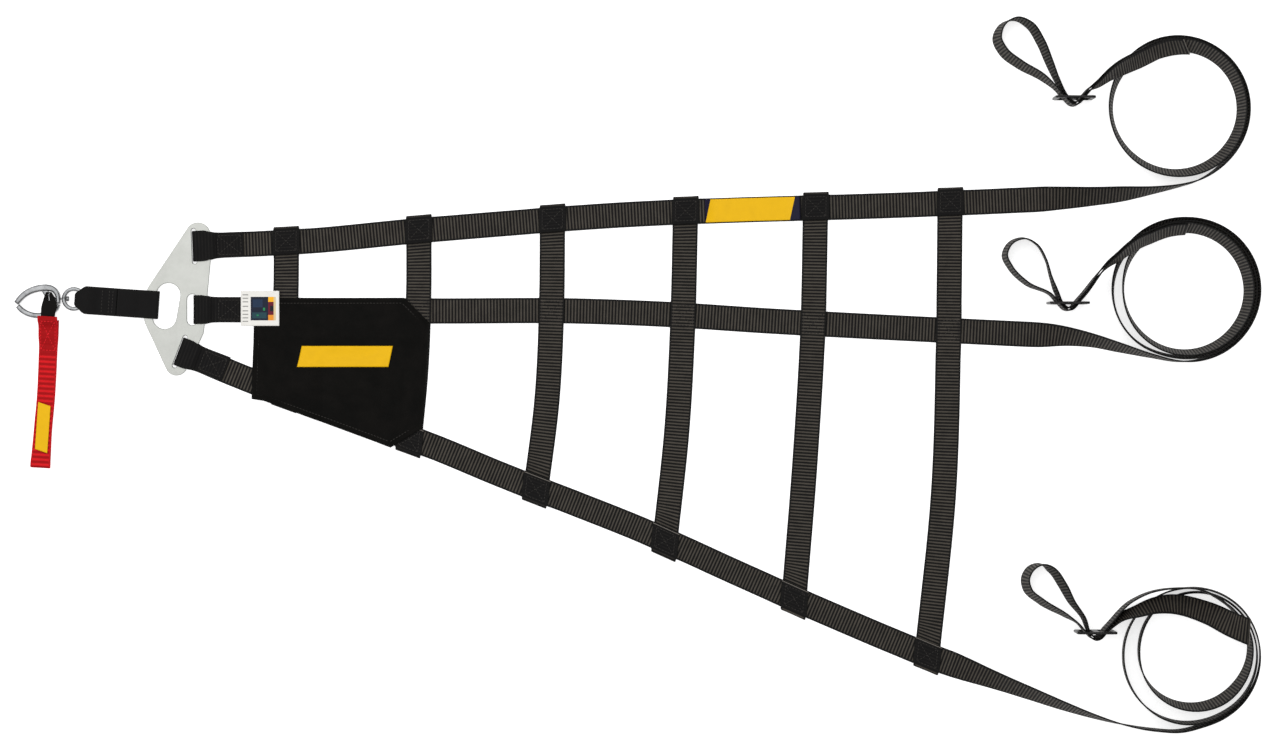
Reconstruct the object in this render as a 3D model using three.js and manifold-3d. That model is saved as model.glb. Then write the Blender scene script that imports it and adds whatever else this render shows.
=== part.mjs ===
// A racing window net: ribbed webbing straps that fan out from a metal plate, laid flat on a surface.
// Millimetres, +X away from the plate, +Y across the net, +Z up, origin at the middle of the net's
// footprint on the surface. Three straps run the length of the net, six more cross them, and each
// long strap ends in a coiled tail with a three-bar slide and a loop.
import * as THREE from 'three';
import { mergeVertices } from 'three/addons/utils/BufferGeometryUtils.js';
import Module from 'manifold-3d';

const wasm = await Module();
wasm.setup();

// Webbing
const WEB = 25.4;
const WEB_THICK = 1.5;
const GAP = 0.4;
const LAYER = WEB_THICK + GAP;
const HALF = WEB / 2;
const CUT = 0.3;

// Metal plate at the narrow end
const PLATE_THICK = 3;
const PLATE_Z = LAYER;

// Red pull ribbon, sewn labels and cloth pad
const RIBBON_THICK = 1.2;
const LABEL_THICK = 1;
const PAD_THICK = 2;

// Shackle and its swivel eye
const SHACKLE_THICK = 7.4;
const EYE_THICK = 3.6;

// Three-bar slide
const SLIDE = { long: 40, tall: 33, thick: 2.4, rim: 3, bar: 6, foot: 4.5 };

// How finely curved webbing is stepped, and how far a straight step may stray from the curve
const STEP = 1.5;
const STRAY = 0.1;

const UP = new THREE.Vector3(0, 0, 1);
const rad = THREE.MathUtils.degToRad;
const point = (x, y, z = 0) => new THREE.Vector3(x, y, z);
const ease = (f) => THREE.MathUtils.smoothstep(f, 0, 1);

const WEBBING = { color: 0x2b2826, roughness: 0.75, metalness: 0 };
const CLOTH = { color: 0x14120f, roughness: 0.9, metalness: 0 };
const RED = { color: 0xd3101c, roughness: 0.6, metalness: 0 };
const YELLOW = { color: 0xf0bf08, roughness: 0.6, metalness: 0 };
const WHITE = { color: 0xe8e6e0, roughness: 0.5, metalness: 0 };
const STEEL = { color: 0xd0d1ce, roughness: 0.4, metalness: 1 };
const POLISHED = { color: 0xc4c5c6, roughness: 0.15, metalness: 1 };
const BLACKENED = { color: 0x26211e, roughness: 0.4, metalness: 0.8 };

const net = new THREE.Group();

function add(name, geometry, look) {
  const mesh = new THREE.Mesh(geometry, new THREE.MeshStandardMaterial(look));
  mesh.name = name;
  net.add(mesh);
}

// Closed mesh from corner points and faces, turned so that its faces point out
function closed(corners, faces) {
  let volume = 0;
  for (const [a, b, c] of faces) {
    volume += corners[a].dot(corners[b].clone().cross(corners[c]));
  }
  const index = faces.flatMap(([a, b, c]) => (volume > 0 ? [a, b, c] : [a, c, b]));
  const geometry = new THREE.BufferGeometry();
  geometry.setAttribute('position', new THREE.Float32BufferAttribute(corners.flatMap((p) => p.toArray()), 3));
  geometry.setIndex(index);
  return geometry;
}

// Follows a table smoothly: every column is a cubic curve over the distance gone in the first three.
// Columns after the second never swing past the rows they run between.
function follow(rows, step = STEP) {
  const far = [0];
  for (let i = 1; i < rows.length; i++) {
    const [a, b] = [rows[i - 1], rows[i]];
    far.push(far[i - 1] + Math.hypot(b[0] - a[0], b[1] - a[1], b[2] - a[2]));
  }
  const slope = (i, c) => {
    const rise = (k) => (rows[k + 1][c] - rows[k][c]) / (far[k + 1] - far[k]);
    if (i === 0) return rise(0);
    if (i === rows.length - 1) return rise(i - 1);
    const before = far[i] - far[i - 1];
    const after = far[i + 1] - far[i];
    const even = (rise(i - 1) * after + rise(i) * before) / (before + after);
    if (c < 2) return even;
    if (rise(i - 1) * rise(i) <= 0) return 0;
    return Math.sign(even) * Math.min(Math.abs(even), 3 * Math.abs(rise(i - 1)), 3 * Math.abs(rise(i)));
  };
  const out = [];
  for (let i = 0; i + 1 < rows.length; i++) {
    const span = far[i + 1] - far[i];
    const count = Math.max(1, Math.ceil(span / step));
    const last = i + 2 === rows.length ? count : count - 1;
    for (let k = 0; k <= last; k++) {
      const f = k / count;
      out.push(rows[i].map((value, c) => (
        value * (1 + 2 * f) * (1 - f) ** 2
        + rows[i + 1][c] * f * f * (3 - 2 * f)
        + span * (slope(i, c) * f * (1 - f) ** 2 - slope(i + 1, c) * f * f * (1 - f))
      )));
    }
  }
  return out;
}

// Stations of a strip laid along a table of x, y, lift, lean and half width. Lift is the height of
// its lowest edge. Lean turns it about its length: 0 is flat, 90 stands on edge, and past 90 its top
// leans to the right of the way it runs.
function laid(rows, thick = WEB_THICK) {
  const path = follow(rows);
  return path.map(([x, y, lift, lean, half = HALF], i) => {
    const [ax, ay] = path[Math.max(i - 1, 0)];
    const [bx, by] = path[Math.min(i + 1, path.length - 1)];
    const left = point(ay - by, bx - ax).normalize();
    const turn = rad(lean);
    const across = left.multiplyScalar(Math.cos(turn)).addScaledVector(UP, Math.sin(turn));
    const z = lift + half * Math.abs(Math.sin(turn)) + (thick / 2) * Math.abs(Math.cos(turn));
    return { p: point(x, y, z), w: across, half };
  });
}

// Stations of a strip that bends in an upright plane: rows of distance along `way`, height and half
// width, with the strip's width along `across`
function bent(start, way, across, rows, step = STEP) {
  return follow(rows.map(([u, z, half]) => [u, 0, z, half]), step)
    .map(([u, , z, half]) => ({ p: start.clone().addScaledVector(way, u).setZ(z), w: across.clone(), half }));
}

// Drops the stations that a straight stretch can stand in for
function thinned(stations, stray = STRAY) {
  const edge = (s, side) => s.p.clone().addScaledVector(s.w, side * s.half);
  const fits = (from, to) => {
    for (let k = from + 1; k < to; k++) {
      const f = (k - from) / (to - from);
      for (const side of [-1, 1]) {
        const between = edge(stations[from], side).lerp(edge(stations[to], side), f);
        if (between.distanceTo(edge(stations[k], side)) > stray) return false;
      }
    }
    return true;
  };
  const kept = [stations[0]];
  let from = 0;
  while (from < stations.length - 1) {
    let to = from + 1;
    while (to + 1 < stations.length && fits(from, to + 1)) to += 1;
    kept.push(stations[to]);
    from = to;
  }
  return kept;
}

// Solid strip of rectangular section along its stations
function strip(stations, thick = WEB_THICK, stray = STRAY) {
  const kept = thinned(stations, stray);
  const corners = kept.flatMap(({ p, w, half }, i) => {
    const along = kept[Math.min(i + 1, kept.length - 1)].p.clone().sub(kept[Math.max(i - 1, 0)].p);
    const face = along.cross(w).normalize();
    return [[-1, -1], [1, -1], [1, 1], [-1, 1]].map(([side, up]) => (
      p.clone().addScaledVector(w, side * half).addScaledVector(face, up * thick / 2)
    ));
  });
  const faces = [[0, 1, 2], [0, 2, 3]];
  for (let i = 0; i + 1 < kept.length; i++) {
    for (let k = 0; k < 4; k++) {
      const [a, b] = [4 * i + k, 4 * i + (k + 1) % 4];
      faces.push([a, a + 4, b + 4], [a, b + 4, b]);
    }
  }
  const end = 4 * (kept.length - 1);
  faces.push([end, end + 2, end + 1], [end, end + 3, end + 2]);
  return closed(corners, faces);
}

// Cuts a run of stations in two, with the gap that two touching solids keep
function parted(stations, at) {
  const ahead = stations[at].p.clone().sub(stations[at - 1].p).normalize();
  const moved = (by) => ({ ...stations[at], p: stations[at].p.clone().addScaledVector(ahead, by) });
  return [[...stations.slice(0, at), moved(-CUT / 2)], [moved(CUT / 2), ...stations.slice(at + 1)]];
}

// A sheet of cloth between a lower and an upper chain of points, lying on a height function
function draped(lower, upper, across, height, thick) {
  const corners = [];
  const sheet = (side) => lower.forEach(([ax, ay], i) => {
    const [bx, by] = upper[i];
    for (let k = 0; k <= across; k++) {
      const f = k / across;
      const [x, y] = [ax + (bx - ax) * f, ay + (by - ay) * f];
      corners.push(point(x, y, height(x, y) + side * thick));
    }
  });
  sheet(0);
  sheet(1);
  const row = across + 1;
  const top = row * lower.length;
  const faces = [];
  const quad = (a, b, c, d) => faces.push([a, b, c], [a, c, d]);
  for (let i = 0; i + 1 < lower.length; i++) {
    for (let k = 0; k < across; k++) {
      const [a, b] = [i * row + k, (i + 1) * row + k];
      quad(a, a + 1, b + 1, b);
      quad(top + a, top + b, top + b + 1, top + a + 1);
    }
    const [a, b] = [i * row, (i + 1) * row];
    quad(a, b, top + b, top + a);
    quad(b + across, a + across, top + a + across, top + b + across);
  }
  for (let k = 0; k < across; k++) {
    const far = (lower.length - 1) * row;
    quad(k + 1, k, top + k, top + k + 1);
    quad(far + k, far + k + 1, top + far + k + 1, top + far + k);
  }
  return closed(corners, faces);
}

// Splits a chain of x, y points into short steps
function stepped(chain, counts) {
  const out = [chain[0]];
  counts.forEach((count, i) => {
    for (let k = 1; k <= count; k++) {
      const f = k / count;
      out.push(chain[i].map((v, c) => v + (chain[i + 1][c] - v) * f));
    }
  });
  return out;
}

// Outline of a belt pulled round circles given as x, y, radius
function belt(circles, sides = 28) {
  const around = circles.flatMap(([x, y, r]) => (
    Array.from({ length: sides }, (_, k) => {
      const a = (2 * Math.PI * k) / sides;
      return [x + r * Math.cos(a), y + r * Math.sin(a)];
    })
  )).sort((a, b) => a[0] - b[0] || a[1] - b[1]);
  const half = (points) => {
    const hull = [];
    for (const p of points) {
      while (hull.length > 1) {
        const [a, b] = hull.slice(-2);
        if ((b[0] - a[0]) * (p[1] - a[1]) - (b[1] - a[1]) * (p[0] - a[0]) > 1e-9) break;
        hull.pop();
      }
      hull.push(p);
    }
    return hull.slice(0, -1);
  };
  return [...half(around), ...half(around.reverse())].map(([x, y]) => new THREE.Vector2(x, y));
}

// Flat piece cut from an outline, with holes, its edges rounded by a small bevel
function cutOut(outline, holes, bottom, thick, bevel) {
  const shape = new THREE.Shape(outline);
  shape.holes = holes.map((hole) => new THREE.Path(hole));
  const geometry = new THREE.ExtrudeGeometry(shape, {
    depth: thick - 2 * bevel,
    bevelEnabled: bevel > 0,
    bevelThickness: bevel,
    bevelSize: bevel,
    bevelOffset: -bevel,
    bevelSegments: 1,
  });
  geometry.deleteAttribute('normal');
  geometry.deleteAttribute('uv');
  geometry.translate(0, 0, bottom + bevel);
  return mergeVertices(geometry, 1e-4);
}

// Outline of a bar of given width along a curve through x, y, width rows
function barOutline(rows, count) {
  const path = follow(rows.map(([x, y, width]) => [x, y, 0, width]), 0.5);
  const picked = Array.from({ length: count + 1 }, (_, k) => Math.round(k * (path.length - 1) / count));
  const sides = [[], []];
  for (const i of picked) {
    const [ax, ay] = path[Math.max(i - 1, 0)];
    const [bx, by] = path[Math.min(i + 1, path.length - 1)];
    const left = new THREE.Vector2(ay - by, bx - ax).normalize();
    const at = new THREE.Vector2(path[i][0], path[i][1]);
    const half = path[i][3] / 2;
    sides[0].push(at.clone().addScaledVector(left, half));
    sides[1].unshift(at.clone().addScaledVector(left, -half));
  }
  return [...sides[0], ...sides[1]];
}

function solidOf(geometry) {
  const { position } = geometry.attributes;
  const triVerts = new Uint32Array(geometry.index.array);
  return new wasm.Manifold(new wasm.Mesh({ numProp: 3, vertProperties: position.array, triVerts }));
}

function geometryOf(solid) {
  const { vertProperties, triVerts } = solid.getMesh();
  const geometry = new THREE.BufferGeometry();
  geometry.setAttribute('position', new THREE.BufferAttribute(new Float32Array(vertProperties), 3));
  geometry.setIndex(new THREE.BufferAttribute(new Uint32Array(triVerts), 1));
  return mergeVertices(geometry, 1e-4);
}

function bare(geometry) {
  geometry.deleteAttribute('normal');
  geometry.deleteAttribute('uv');
  return mergeVertices(geometry, 1e-4);
}

// Crossing straps: x of the centreline at the upper strap, the middle strap, half way down and the
// lower strap
const CROSSINGS = [
  { name: 'cross_strap_1', x: [-353, -353.5, -354, -355] },
  { name: 'cross_strap_2', x: [-220.5, -221, -224, -230] },
  { name: 'cross_strap_3', x: [-87, -88, -92.5, -103.5] },
  { name: 'cross_strap_4', x: [46, 43.5, 37.5, 25.5] },
  { name: 'cross_strap_5', x: [176, 173.5, 165.5, 154.5] },
  { name: 'cross_strap_6', x: [310.5, 309, 304, 287.5] },
];

// Long straps. `slot` is the middle of the plate's slot edge that the strap hangs on, `bar` the width
// of metal it wraps and `heading` its way there; `flat` are x, y rows up to where it starts to twist.
const LONG = {
  upper: {
    slot: [-442.5, 125.7],
    bar: 13.8,
    heading: 2.3,
    foldHalf: 15.3,
    flat: [[-415, 126.9], [-385, 128], [-330, 131], [-240, 139.5], [-140, 148], [-10, 157.5],
      [100, 162], [190, 164.5], [330, 169.5], [385, 172]],
    crossed: CROSSINGS.map(({ x }) => x[0]),
  },
  middle: {
    slot: [-441.5, 62.3],
    bar: 8.5,
    heading: 0,
    foldHalf: 14.4,
    flat: [[-415, 62.3], [-330, 61.5], [-200, 61], [-64, 61], [20, 58], [130, 51], [250, 44.5],
      [330, 40.5], [375, 38.3]],
    crossed: [],
  },
  lower: {
    slot: [-456.8, 19.6],
    bar: 11,
    heading: -21,
    foldHalf: 14.6,
    flat: [[-430, 8.6], [-395, -6], [-300, -40.5], [-200, -77], [-140, -102], [-64, -131.5], [0, -157],
      [100, -202], [190, -242], [304, -289]],
    crossed: CROSSINGS.map(({ x }) => x[3]),
  },
};

const CROSS_FLAT = HALF + 3;
const CROSS_RAMP = 14;
const lifted = (away) => ease((CROSS_FLAT + CROSS_RAMP - Math.abs(away)) / CROSS_RAMP);

function yAt(rows, x) {
  const i = Math.min(Math.max(rows.findIndex((row) => row[0] > x), 1), rows.length - 1);
  const [a, b] = [rows[i - 1], rows[i]];
  return a[1] + ((b[1] - a[1]) * (x - a[0])) / (b[0] - a[0]);
}

// Strap end: folded over the plate's bar, down through the slot and back under, its short end
// sewn down on top
const FOLD_END = 47;
function plateFold({ slot, bar, heading, foldHalf }) {
  const way = point(Math.cos(rad(heading)), Math.sin(rad(heading)));
  const across = point(-way.y, way.x);
  const low = WEB_THICK / 2;
  const high = PLATE_Z + PLATE_THICK + GAP + WEB_THICK / 2;
  const round = (high - low) / 2;
  const turn = -3.4 + round;
  const arc = [60, 90, 120, 150, 180, 210, 240, 270].map((a) => (
    [turn + round * Math.cos(rad(a)), low + round + round * Math.sin(rad(a)), foldHalf]
  ));
  const rows = [
    [FOLD_END, low + LAYER, HALF],
    [bar + 14, low + LAYER, HALF],
    [bar + 8, low + LAYER + 0.3, HALF + 0.2],
    [bar + 1.5, high, HALF + 0.8],
    [bar / 2, high, foldHalf],
    ...arc.slice(1),
    [6, low, foldHalf],
    [bar + 6, low, HALF + 0.2],
  ];
  return bent(point(...slot), way, across, rows, 0.8);
}

// Tails. `twist` rows are x, y, lift, lean, where the strap rises on edge. `ring` rows are angle and
// distance about the coil's centre, lift and lean: the strap winds inwards on edge, then climbs over
// its own turns and out to the slide. `loop` rows are distances from the slide's middle, along it and
// across it, then lift and lean, for the loop beyond the slide.
const TAILS = {
  upper: {
    twist: [[420.5, 173.5, 0, 28], [450.5, 175, 0, 45], [480.5, 177.3, 0, 57], [512, 181, 0, 76]],
    centre: [536.5, 263.6],
    ring: [[-85, 77, 0, 88], [-50, 71.5, 0, 93], [0, 67.5, 0, 100], [60, 66.3, 0, 104], [120, 66.3, 0, 112],
      [180, 67, 0, 105], [240, 65.8, 0, 110], [300, 65, 0, 110], [360, 63.8, 0, 103], [410, 63.3, 0, 108],
      [442, 62.5, 2, 116], [480, 61, 7, 125], [500, 66.5, 18, 123], [510, 73, 26, 118], [517, 79, 27.5, 110],
      [523.3, 84.6, 21, 102]],
    slide: [432.3, 272.8],
    loop: [[-17, 17.8, 4, 94], [-24, 34.8, 2, 99], [-33, 56.8, 0, 101], [-44, 73, 0, 99], [-57, 79, 0, 92],
      [-71, 72.8, 0, 82], [-76, 59.8, 0, 76], [-70, 46.8, 0, 76], [-54, 33.8, 1, 77], [-31, 20.3, 3, 82]],
    end: { angle: 435 },
  },
  middle: {
    twist: [[398, 37.2, 0, 12], [420.5, 36, 0, 38], [450.5, 31.5, 0, 60], [480.5, 23.7, 0, 72],
      [510.5, 16, 0, 84]],
    centre: [543.4, 81],
    ring: [[-93, 70.5, 0, 90], [-45, 70.5, 0, 96], [0, 71, 0, 100], [45, 70.5, 0, 102], [90, 69.5, 0, 104],
      [130, 70.5, 0, 108], [180, 72, 0, 101], [225, 70, 0, 98], [250, 67, 0, 97], [270, 66.3, 0, 97],
      [315, 67, 0, 99], [360, 67.5, 0, 101], [405, 67, 0, 103], [450, 66, 0, 106], [490, 64.8, 0, 108],
      [540, 61.6, 0, 100], [585, 61, 0, 104], [630, 61.8, 0, 104], [675, 62.8, 0, 104], [720, 64, 0, 104],
      [765, 63.6, 0, 106], [800, 63, 0, 110], [825, 63.4, 5, 115], [845, 65.2, 11, 115], [855, 69, 21.5, 115],
      [863, 72.6, 27.5, 113], [873, 77.5, 27.5, 108], [881, 84, 20, 100]],
    slide: [426.4, 68.7],
    loop: [[-12, 11.5, 4, 92], [-17, 25.5, 3, 88], [-22, 43.5, 1, 86], [-31, 58.5, 0, 86], [-43, 64.5, 0, 86],
      [-57, 59.5, 0, 85], [-62.5, 47.5, 0, 84], [-57, 35.5, 0, 85], [-41, 19.5, 2, 86]],
    end: { angle: 803 },
  },
  lower: {
    twist: [[322, -295.6, 0, 18], [340, -302.2, 0, 35], [360.5, -309.7, 0, 47], [390.5, -320.8, 0, 58],
      [420.5, -332, 0, 67], [450.5, -342.3, 0, 77], [480.5, -350.8, 0, 86], [512, -356.3, 0, 90]],
    centre: [550.8, -282.4],
    ring: [[-98, 75.6, 0, 90], [-85, 71, 0, 90], [-65, 68.6, 0, 88], [-44, 68, 0, 84], [5, 67.4, 0, 80],
      [45, 67.5, 0, 84], [90, 67.5, 0, 92], [130, 68.5, 0, 98], [171, 69, 0, 96], [232, 69, 0, 92],
      [258, 68, 0, 92], [276, 66.6, 0, 91], [295, 65, 0, 88], [316, 64.6, 0, 84], [365, 64.3, 0, 80],
      [405, 64.3, 0, 84], [440, 63.6, 0, 90], [480, 60, 0, 95], [535, 53.6, 0, 95], [575, 52, 0, 98],
      [616, 51.3, 0, 103], [662, 52.5, 0, 105], [691, 54, 0, 100], [715, 56.6, 0, 94], [740, 59.5, 0, 91],
      [757, 60.4, 0, 90], [766, 60.4, 0.8, 90], [774, 60.5, 10, 90], [783, 60.9, 22, 90],
      [790, 62.2, 27.4, 91], [806, 67, 27.6, 92],
      [826, 71.6, 27, 93], [846, 78.7, 17, 93], [860, 83.5, 9, 92]],
    slide: [453.6, -258.6],
    loop: [[-12, 14, 4, 94], [-23.5, 30, 2, 100], [-32.5, 47, 0, 104], [-42.5, 61, 0, 104], [-52.5, 67, 0, 92],
      [-63.5, 63, 0, 82], [-69, 53, 0, 78], [-67, 42, 0, 76], [-53.5, 30, 1, 76], [-29, 16, 3, 82]],
    end: {
      rows: [[476.5, -245, 8, 100], [493, -236.5, 24.5, 112], [507, -231.5, 27, 122], [521, -229.5, 27, 132],
        [563.4, -239, 29.8, 152], [586, -250, 31.2, 168], [604.4, -257.7, 30.4, 178]],
    },
  },
};

const ARC_STEP = 12;
const TURN_GAP = 2.3;
const SLIDE_LIFT = (SLIDE.tall - WEB) / 2;
// Way through the slide's two windows and round its middle bar
const THREADED = [[13, 8, 5.5], [8.5, 2.6], [5.2, -1.8], [2.4, -4.3], [0, -5], [-2.4, -4.3], [-5.2, -1.8]];
const RETURNED = [[-16, 7], [-12, 2.2], [-9.4, -0.6]];

function ringRows({ centre: [cx, cy], ring }) {
  const mmPerDegree = 1.15;
  return follow(ring.map(([angle, r, lift, lean]) => [angle * mmPerDegree, 0, 0, r, lift, lean]), ARC_STEP)
    .map(([turned, , , r, lift, lean]) => {
      const a = rad(turned / mmPerDegree);
      return [cx + r * Math.cos(a), cy + r * Math.sin(a), Math.max(lift, 0), lean, HALF];
    });
}

const nearest = (stations, x, y, from = 0) => {
  let best = from;
  stations.forEach(({ p }, i) => {
    const better = Math.hypot(p.x - x, p.y - y) < Math.hypot(stations[best].p.x - x, stations[best].p.y - y);
    if (i >= from && better) best = i;
  });
  return best;
};

// Stations beside others, a turn's gap to the left of the way they run
function beside(stations, gap) {
  return stations.map(({ p, w, half }, i) => {
    const ahead = stations[Math.min(i + 1, stations.length - 1)];
    const along = ahead.p.clone().sub(stations[Math.max(i - 1, 0)].p);
    const left = w.clone().cross(along).normalize();
    return { p: p.clone().addScaledVector(left, gap), w, half };
  });
}

// One long strap from its folded end at the plate to the cut end of its tail
function longStrap(key) {
  const { flat, crossed } = LONG[key];
  const tail = TAILS[key];
  const [sx, sy] = tail.slide;
  const ring = ringRows(tail);
  const threaded = THREADED.map(([u, v, lift = SLIDE_LIFT]) => [sx + u, sy + v, lift, 90, HALF]);
  const loop = tail.loop.map(([u, v, lift, lean]) => [sx + u, sy + v, lift, lean, HALF]);
  const returned = RETURNED.map(([u, v]) => [sx + u, sy + v, SLIDE_LIFT, 90, HALF]);
  const fold = plateFold(LONG[key]);
  const last = fold[fold.length - 1];
  const run = laid([
    [last.p.x, last.p.y, 0, 0, last.half],
    ...flat.map(([x, y]) => [x, y, 0, 0, HALF]),
    ...tail.twist.map((row) => [...row, HALF]),
    ...ring, ...threaded, ...loop, ...returned,
  ]).slice(1);
  for (const { p } of run) {
    const lift = Math.max(0, ...crossed.map((x) => lifted((p.x - x) / Math.cos(rad(LONG[key].heading)))));
    if (p.x < flat[flat.length - 1][0] + 10) p.z += LAYER * lift;
  }
  const ringStart = nearest(run, ring[0][0], ring[0][1]);
  const mid = nearest(run, sx, sy - 5, run.length - 400);
  const leftArm = nearest(run, sx - 5.2, sy - 1.8, mid);
  const rightArm = nearest(run, sx + 9, sy + 3.2, mid - 20);
  let end;
  if (tail.end.rows) {
    const arm = beside(run.slice(rightArm, leftArm + 1), TURN_GAP).reverse();
    const from = arm[arm.length - 1].p;
    const rows = [[from.x, from.y, SLIDE_LIFT, 90], ...tail.end.rows];
    end = [...arm, ...laid(rows.map((row) => [...row, HALF])).slice(1)];
  } else {
    const [cx, cy] = tail.centre;
    const [first, last] = [tail.ring[0][0], tail.ring[tail.ring.length - 1][0]];
    const at = ring[Math.round(((tail.end.angle - first) / (last - first)) * (ring.length - 1))];
    const cut = nearest(run, at[0], at[1], mid - 260);
    end = beside(run.slice(cut, leftArm + 1), TURN_GAP).reverse();
  }
  const whole = [...fold, ...run, ...end];
  const [xRise, yRise] = flat[flat.length - 1];
  return { whole, rise: fold.length + nearest(run, xRise, yRise), under: fold.length + mid };
}

const long = {};
for (const key of Object.keys(LONG)) {
  const { whole, rise, under } = longStrap(key);
  const [flatRun, rest] = parted(whole, rise);
  const [coil, loop] = parted(rest, under - rise);
  add(`${key}_strap`, strip(flatRun), WEBBING);
  add(`${key}_coil`, strip(coil), WEBBING);
  add(`${key}_loop`, strip(loop), WEBBING);
  long[key] = whole;
}

// Crossing strap: laid under the outer straps and over the middle one, each end wrapped round the
// outer strap's far edge and sewn down on top of it, turned to lie along that strap
const PATCH_HALF = 13.8;
function crossingStrap({ x: [xUp, xMid, xLow, xDown] }) {
  const at = (key, x) => point(x, yAt(LONG[key].flat, x));
  const along = (key, x) => {
    const [a, b] = [at(key, x - 4), at(key, x + 4)];
    return b.sub(a).normalize();
  };
  const [up, mid, down] = [at('upper', xUp), at('middle', xMid), at('lower', xDown)];
  const rows = [[up.x, up.y], [xMid, mid.y], [xLow, (mid.y + down.y) / 2], [down.x, down.y]];
  const path = follow(rows.map(([x, y]) => [x, y, 0])).map(([x, y]) => point(x, y));
  const skewed = (p, i) => {
    const ahead = path[Math.min(i + 1, path.length - 1)].clone().sub(path[Math.max(i - 1, 0)]).normalize();
    const square = point(-ahead.y, ahead.x);
    const near = Math.max(ease(1 - (p.distanceTo(up) - HALF) / 30), 0);
    const far = Math.max(ease(1 - (p.distanceTo(down) - HALF) / 30), 0);
    const w = square.clone().lerp(along('upper', xUp), near).lerp(along('lower', xDown), far).normalize();
    return { p: p.clone().setZ(WEB_THICK / 2), w, half: HALF / w.dot(square) };
  };
  const inner = path.map(skewed);
  for (const station of inner) {
    station.p.z += LAYER * lifted(station.p.y - mid.y);
  }
  const endFold = (station, key, outward) => {
    const way = outward.clone();
    const edge = HALF / Math.abs(way.dot(point(-station.w.y, station.w.x)));
    const low = WEB_THICK / 2;
    const round = LAYER;
    const arc = [-60, -30, 0, 30, 60].map((a) => (
      [edge + GAP + round * Math.cos(rad(a)), low + round + round * Math.sin(rad(a)), station.half]
    ));
    const wide = station.half * (PATCH_HALF / HALF);
    return bent(station.p.clone().setZ(0), way, station.w, [
      [1, low, station.half], [edge - 2, low, station.half], ...arc,
      [edge - 3, low + 2 * round, wide], [0, low + 2 * round, wide], [1 - edge, low + 2 * round, wide],
    ], 0.8);
  };
  const outUp = inner[0].p.clone().sub(inner[8].p).setZ(0).normalize();
  const outDown = inner[inner.length - 1].p.clone().sub(inner[inner.length - 9].p).setZ(0).normalize();
  const top = endFold(inner[0], 'upper', outUp).reverse();
  const bottom = endFold(inner[inner.length - 1], 'lower', outDown);
  return [...top, ...inner, ...bottom];
}

for (const spec of CROSSINGS) add(spec.name, strip(crossingStrap(spec)), WEBBING);

// Slide: two windows in a rounded plate that stands on edge, at the middle of each tail's threading
function slide(name, [x, y]) {
  const { long: length, tall, thick, rim, bar, foot } = SLIDE;
  const corner = 3.5;
  const round = ([x0, x1], [y0, y1], r) => belt([[x0 + r, y0 + r, r], [x1 - r, y0 + r, r],
    [x1 - r, y1 - r, r], [x0 + r, y1 - r, r]], 12);
  const windows = [[foot - length / 2, -bar / 2], [bar / 2, length / 2 - foot]]
    .map((span) => round(span, [rim, tall - rim], 1.5));
  const geometry = cutOut(round([-length / 2, length / 2], [0, tall], corner), windows, 0, thick, 0.4);
  add(name, geometry.rotateX(Math.PI / 2).translate(x, y + thick / 2, 0), BLACKENED);
}
for (const key of Object.keys(TAILS)) slide(`${key}_slide`, TAILS[key].slide);

// Plate, with a hand slot and one slot for each long strap. The folded upper and lower straps fill
// theirs, and the middle one is wider than its strap is thick
const PLATE = [[-441, 137, 12.3], [-479.5, 79, 12.5], [-482, 53, 12.5], [-462.5, 7.5, 11], [-446.5, 110, 18],
  [-446.5, 42, 11.5]];
const HAND_SLOT = [[-470.5, 77, 12], [-474.3, 55, 12]];
const STRAP_SLOTS = {
  upper: { r: 2.3, reach: 15.5 },
  middle: { r: 5.2, reach: 10.5 },
  lower: { r: 2.3, reach: 14.9 },
};
const strapSlots = Object.keys(LONG).map((key) => {
  const { slot: [x, y], heading } = LONG[key];
  const { r, reach } = STRAP_SLOTS[key];
  const [c, s] = [Math.cos(rad(heading)), Math.sin(rad(heading))];
  return belt([-1, 1].map((side) => (
    [x - r * c - side * reach * s, y - r * s + side * reach * c, r]
  )), 16);
});
add('plate', cutOut(belt(PLATE, 40), [belt(HAND_SLOT, 32), ...strapSlots], PLATE_Z, PLATE_THICK, 0.4), STEEL);

// Tab of doubled webbing from the swivel eye to the plate's outer bar: sewn flat between the two
const TAB_LOW = WEB_THICK / 2;
const TAB_MID = TAB_LOW + LAYER;
const roundFold = (u, r, angles, halves) => angles.map((a, i) => (
  [u + r * Math.cos(rad(a)), TAB_LOW + r + r * Math.sin(rad(a)), halves[i] ?? halves[0]]
));
const TAB = [
  [42, TAB_MID, 14], [27, TAB_MID, 14], [17, 5.6, 14], [12.4, 6.65, 14], [8.5, 6.65, 12.5], [5.5, 6.65, 9.8],
  ...roundFold(3.7, 2.95, [90, 120, 150, 180, 210, 240, 270], [8.6, 7.2, 5.6, 5, 5.6, 7.2, 8.6]),
  [5.5, TAB_LOW, 9.8], [8.5, TAB_LOW, 12.5], [12.4, TAB_LOW, 14], [40, TAB_LOW, 14],
  ...roundFold(81.4, 2.65, [-90, -60, -30, 0, 30, 60, 90], [14]), [73, 6.05, 14], [66, 5.4, 14],
  [56, TAB_MID, 14], [43, TAB_MID, 14],
];
const TAB_WAY = point(Math.cos(rad(-4)), Math.sin(rad(-4)));
add('tab', strip(bent(point(-564.5, 72.6), TAB_WAY, point(-TAB_WAY.y, TAB_WAY.x), TAB, 0.8)), WEBBING);

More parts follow.
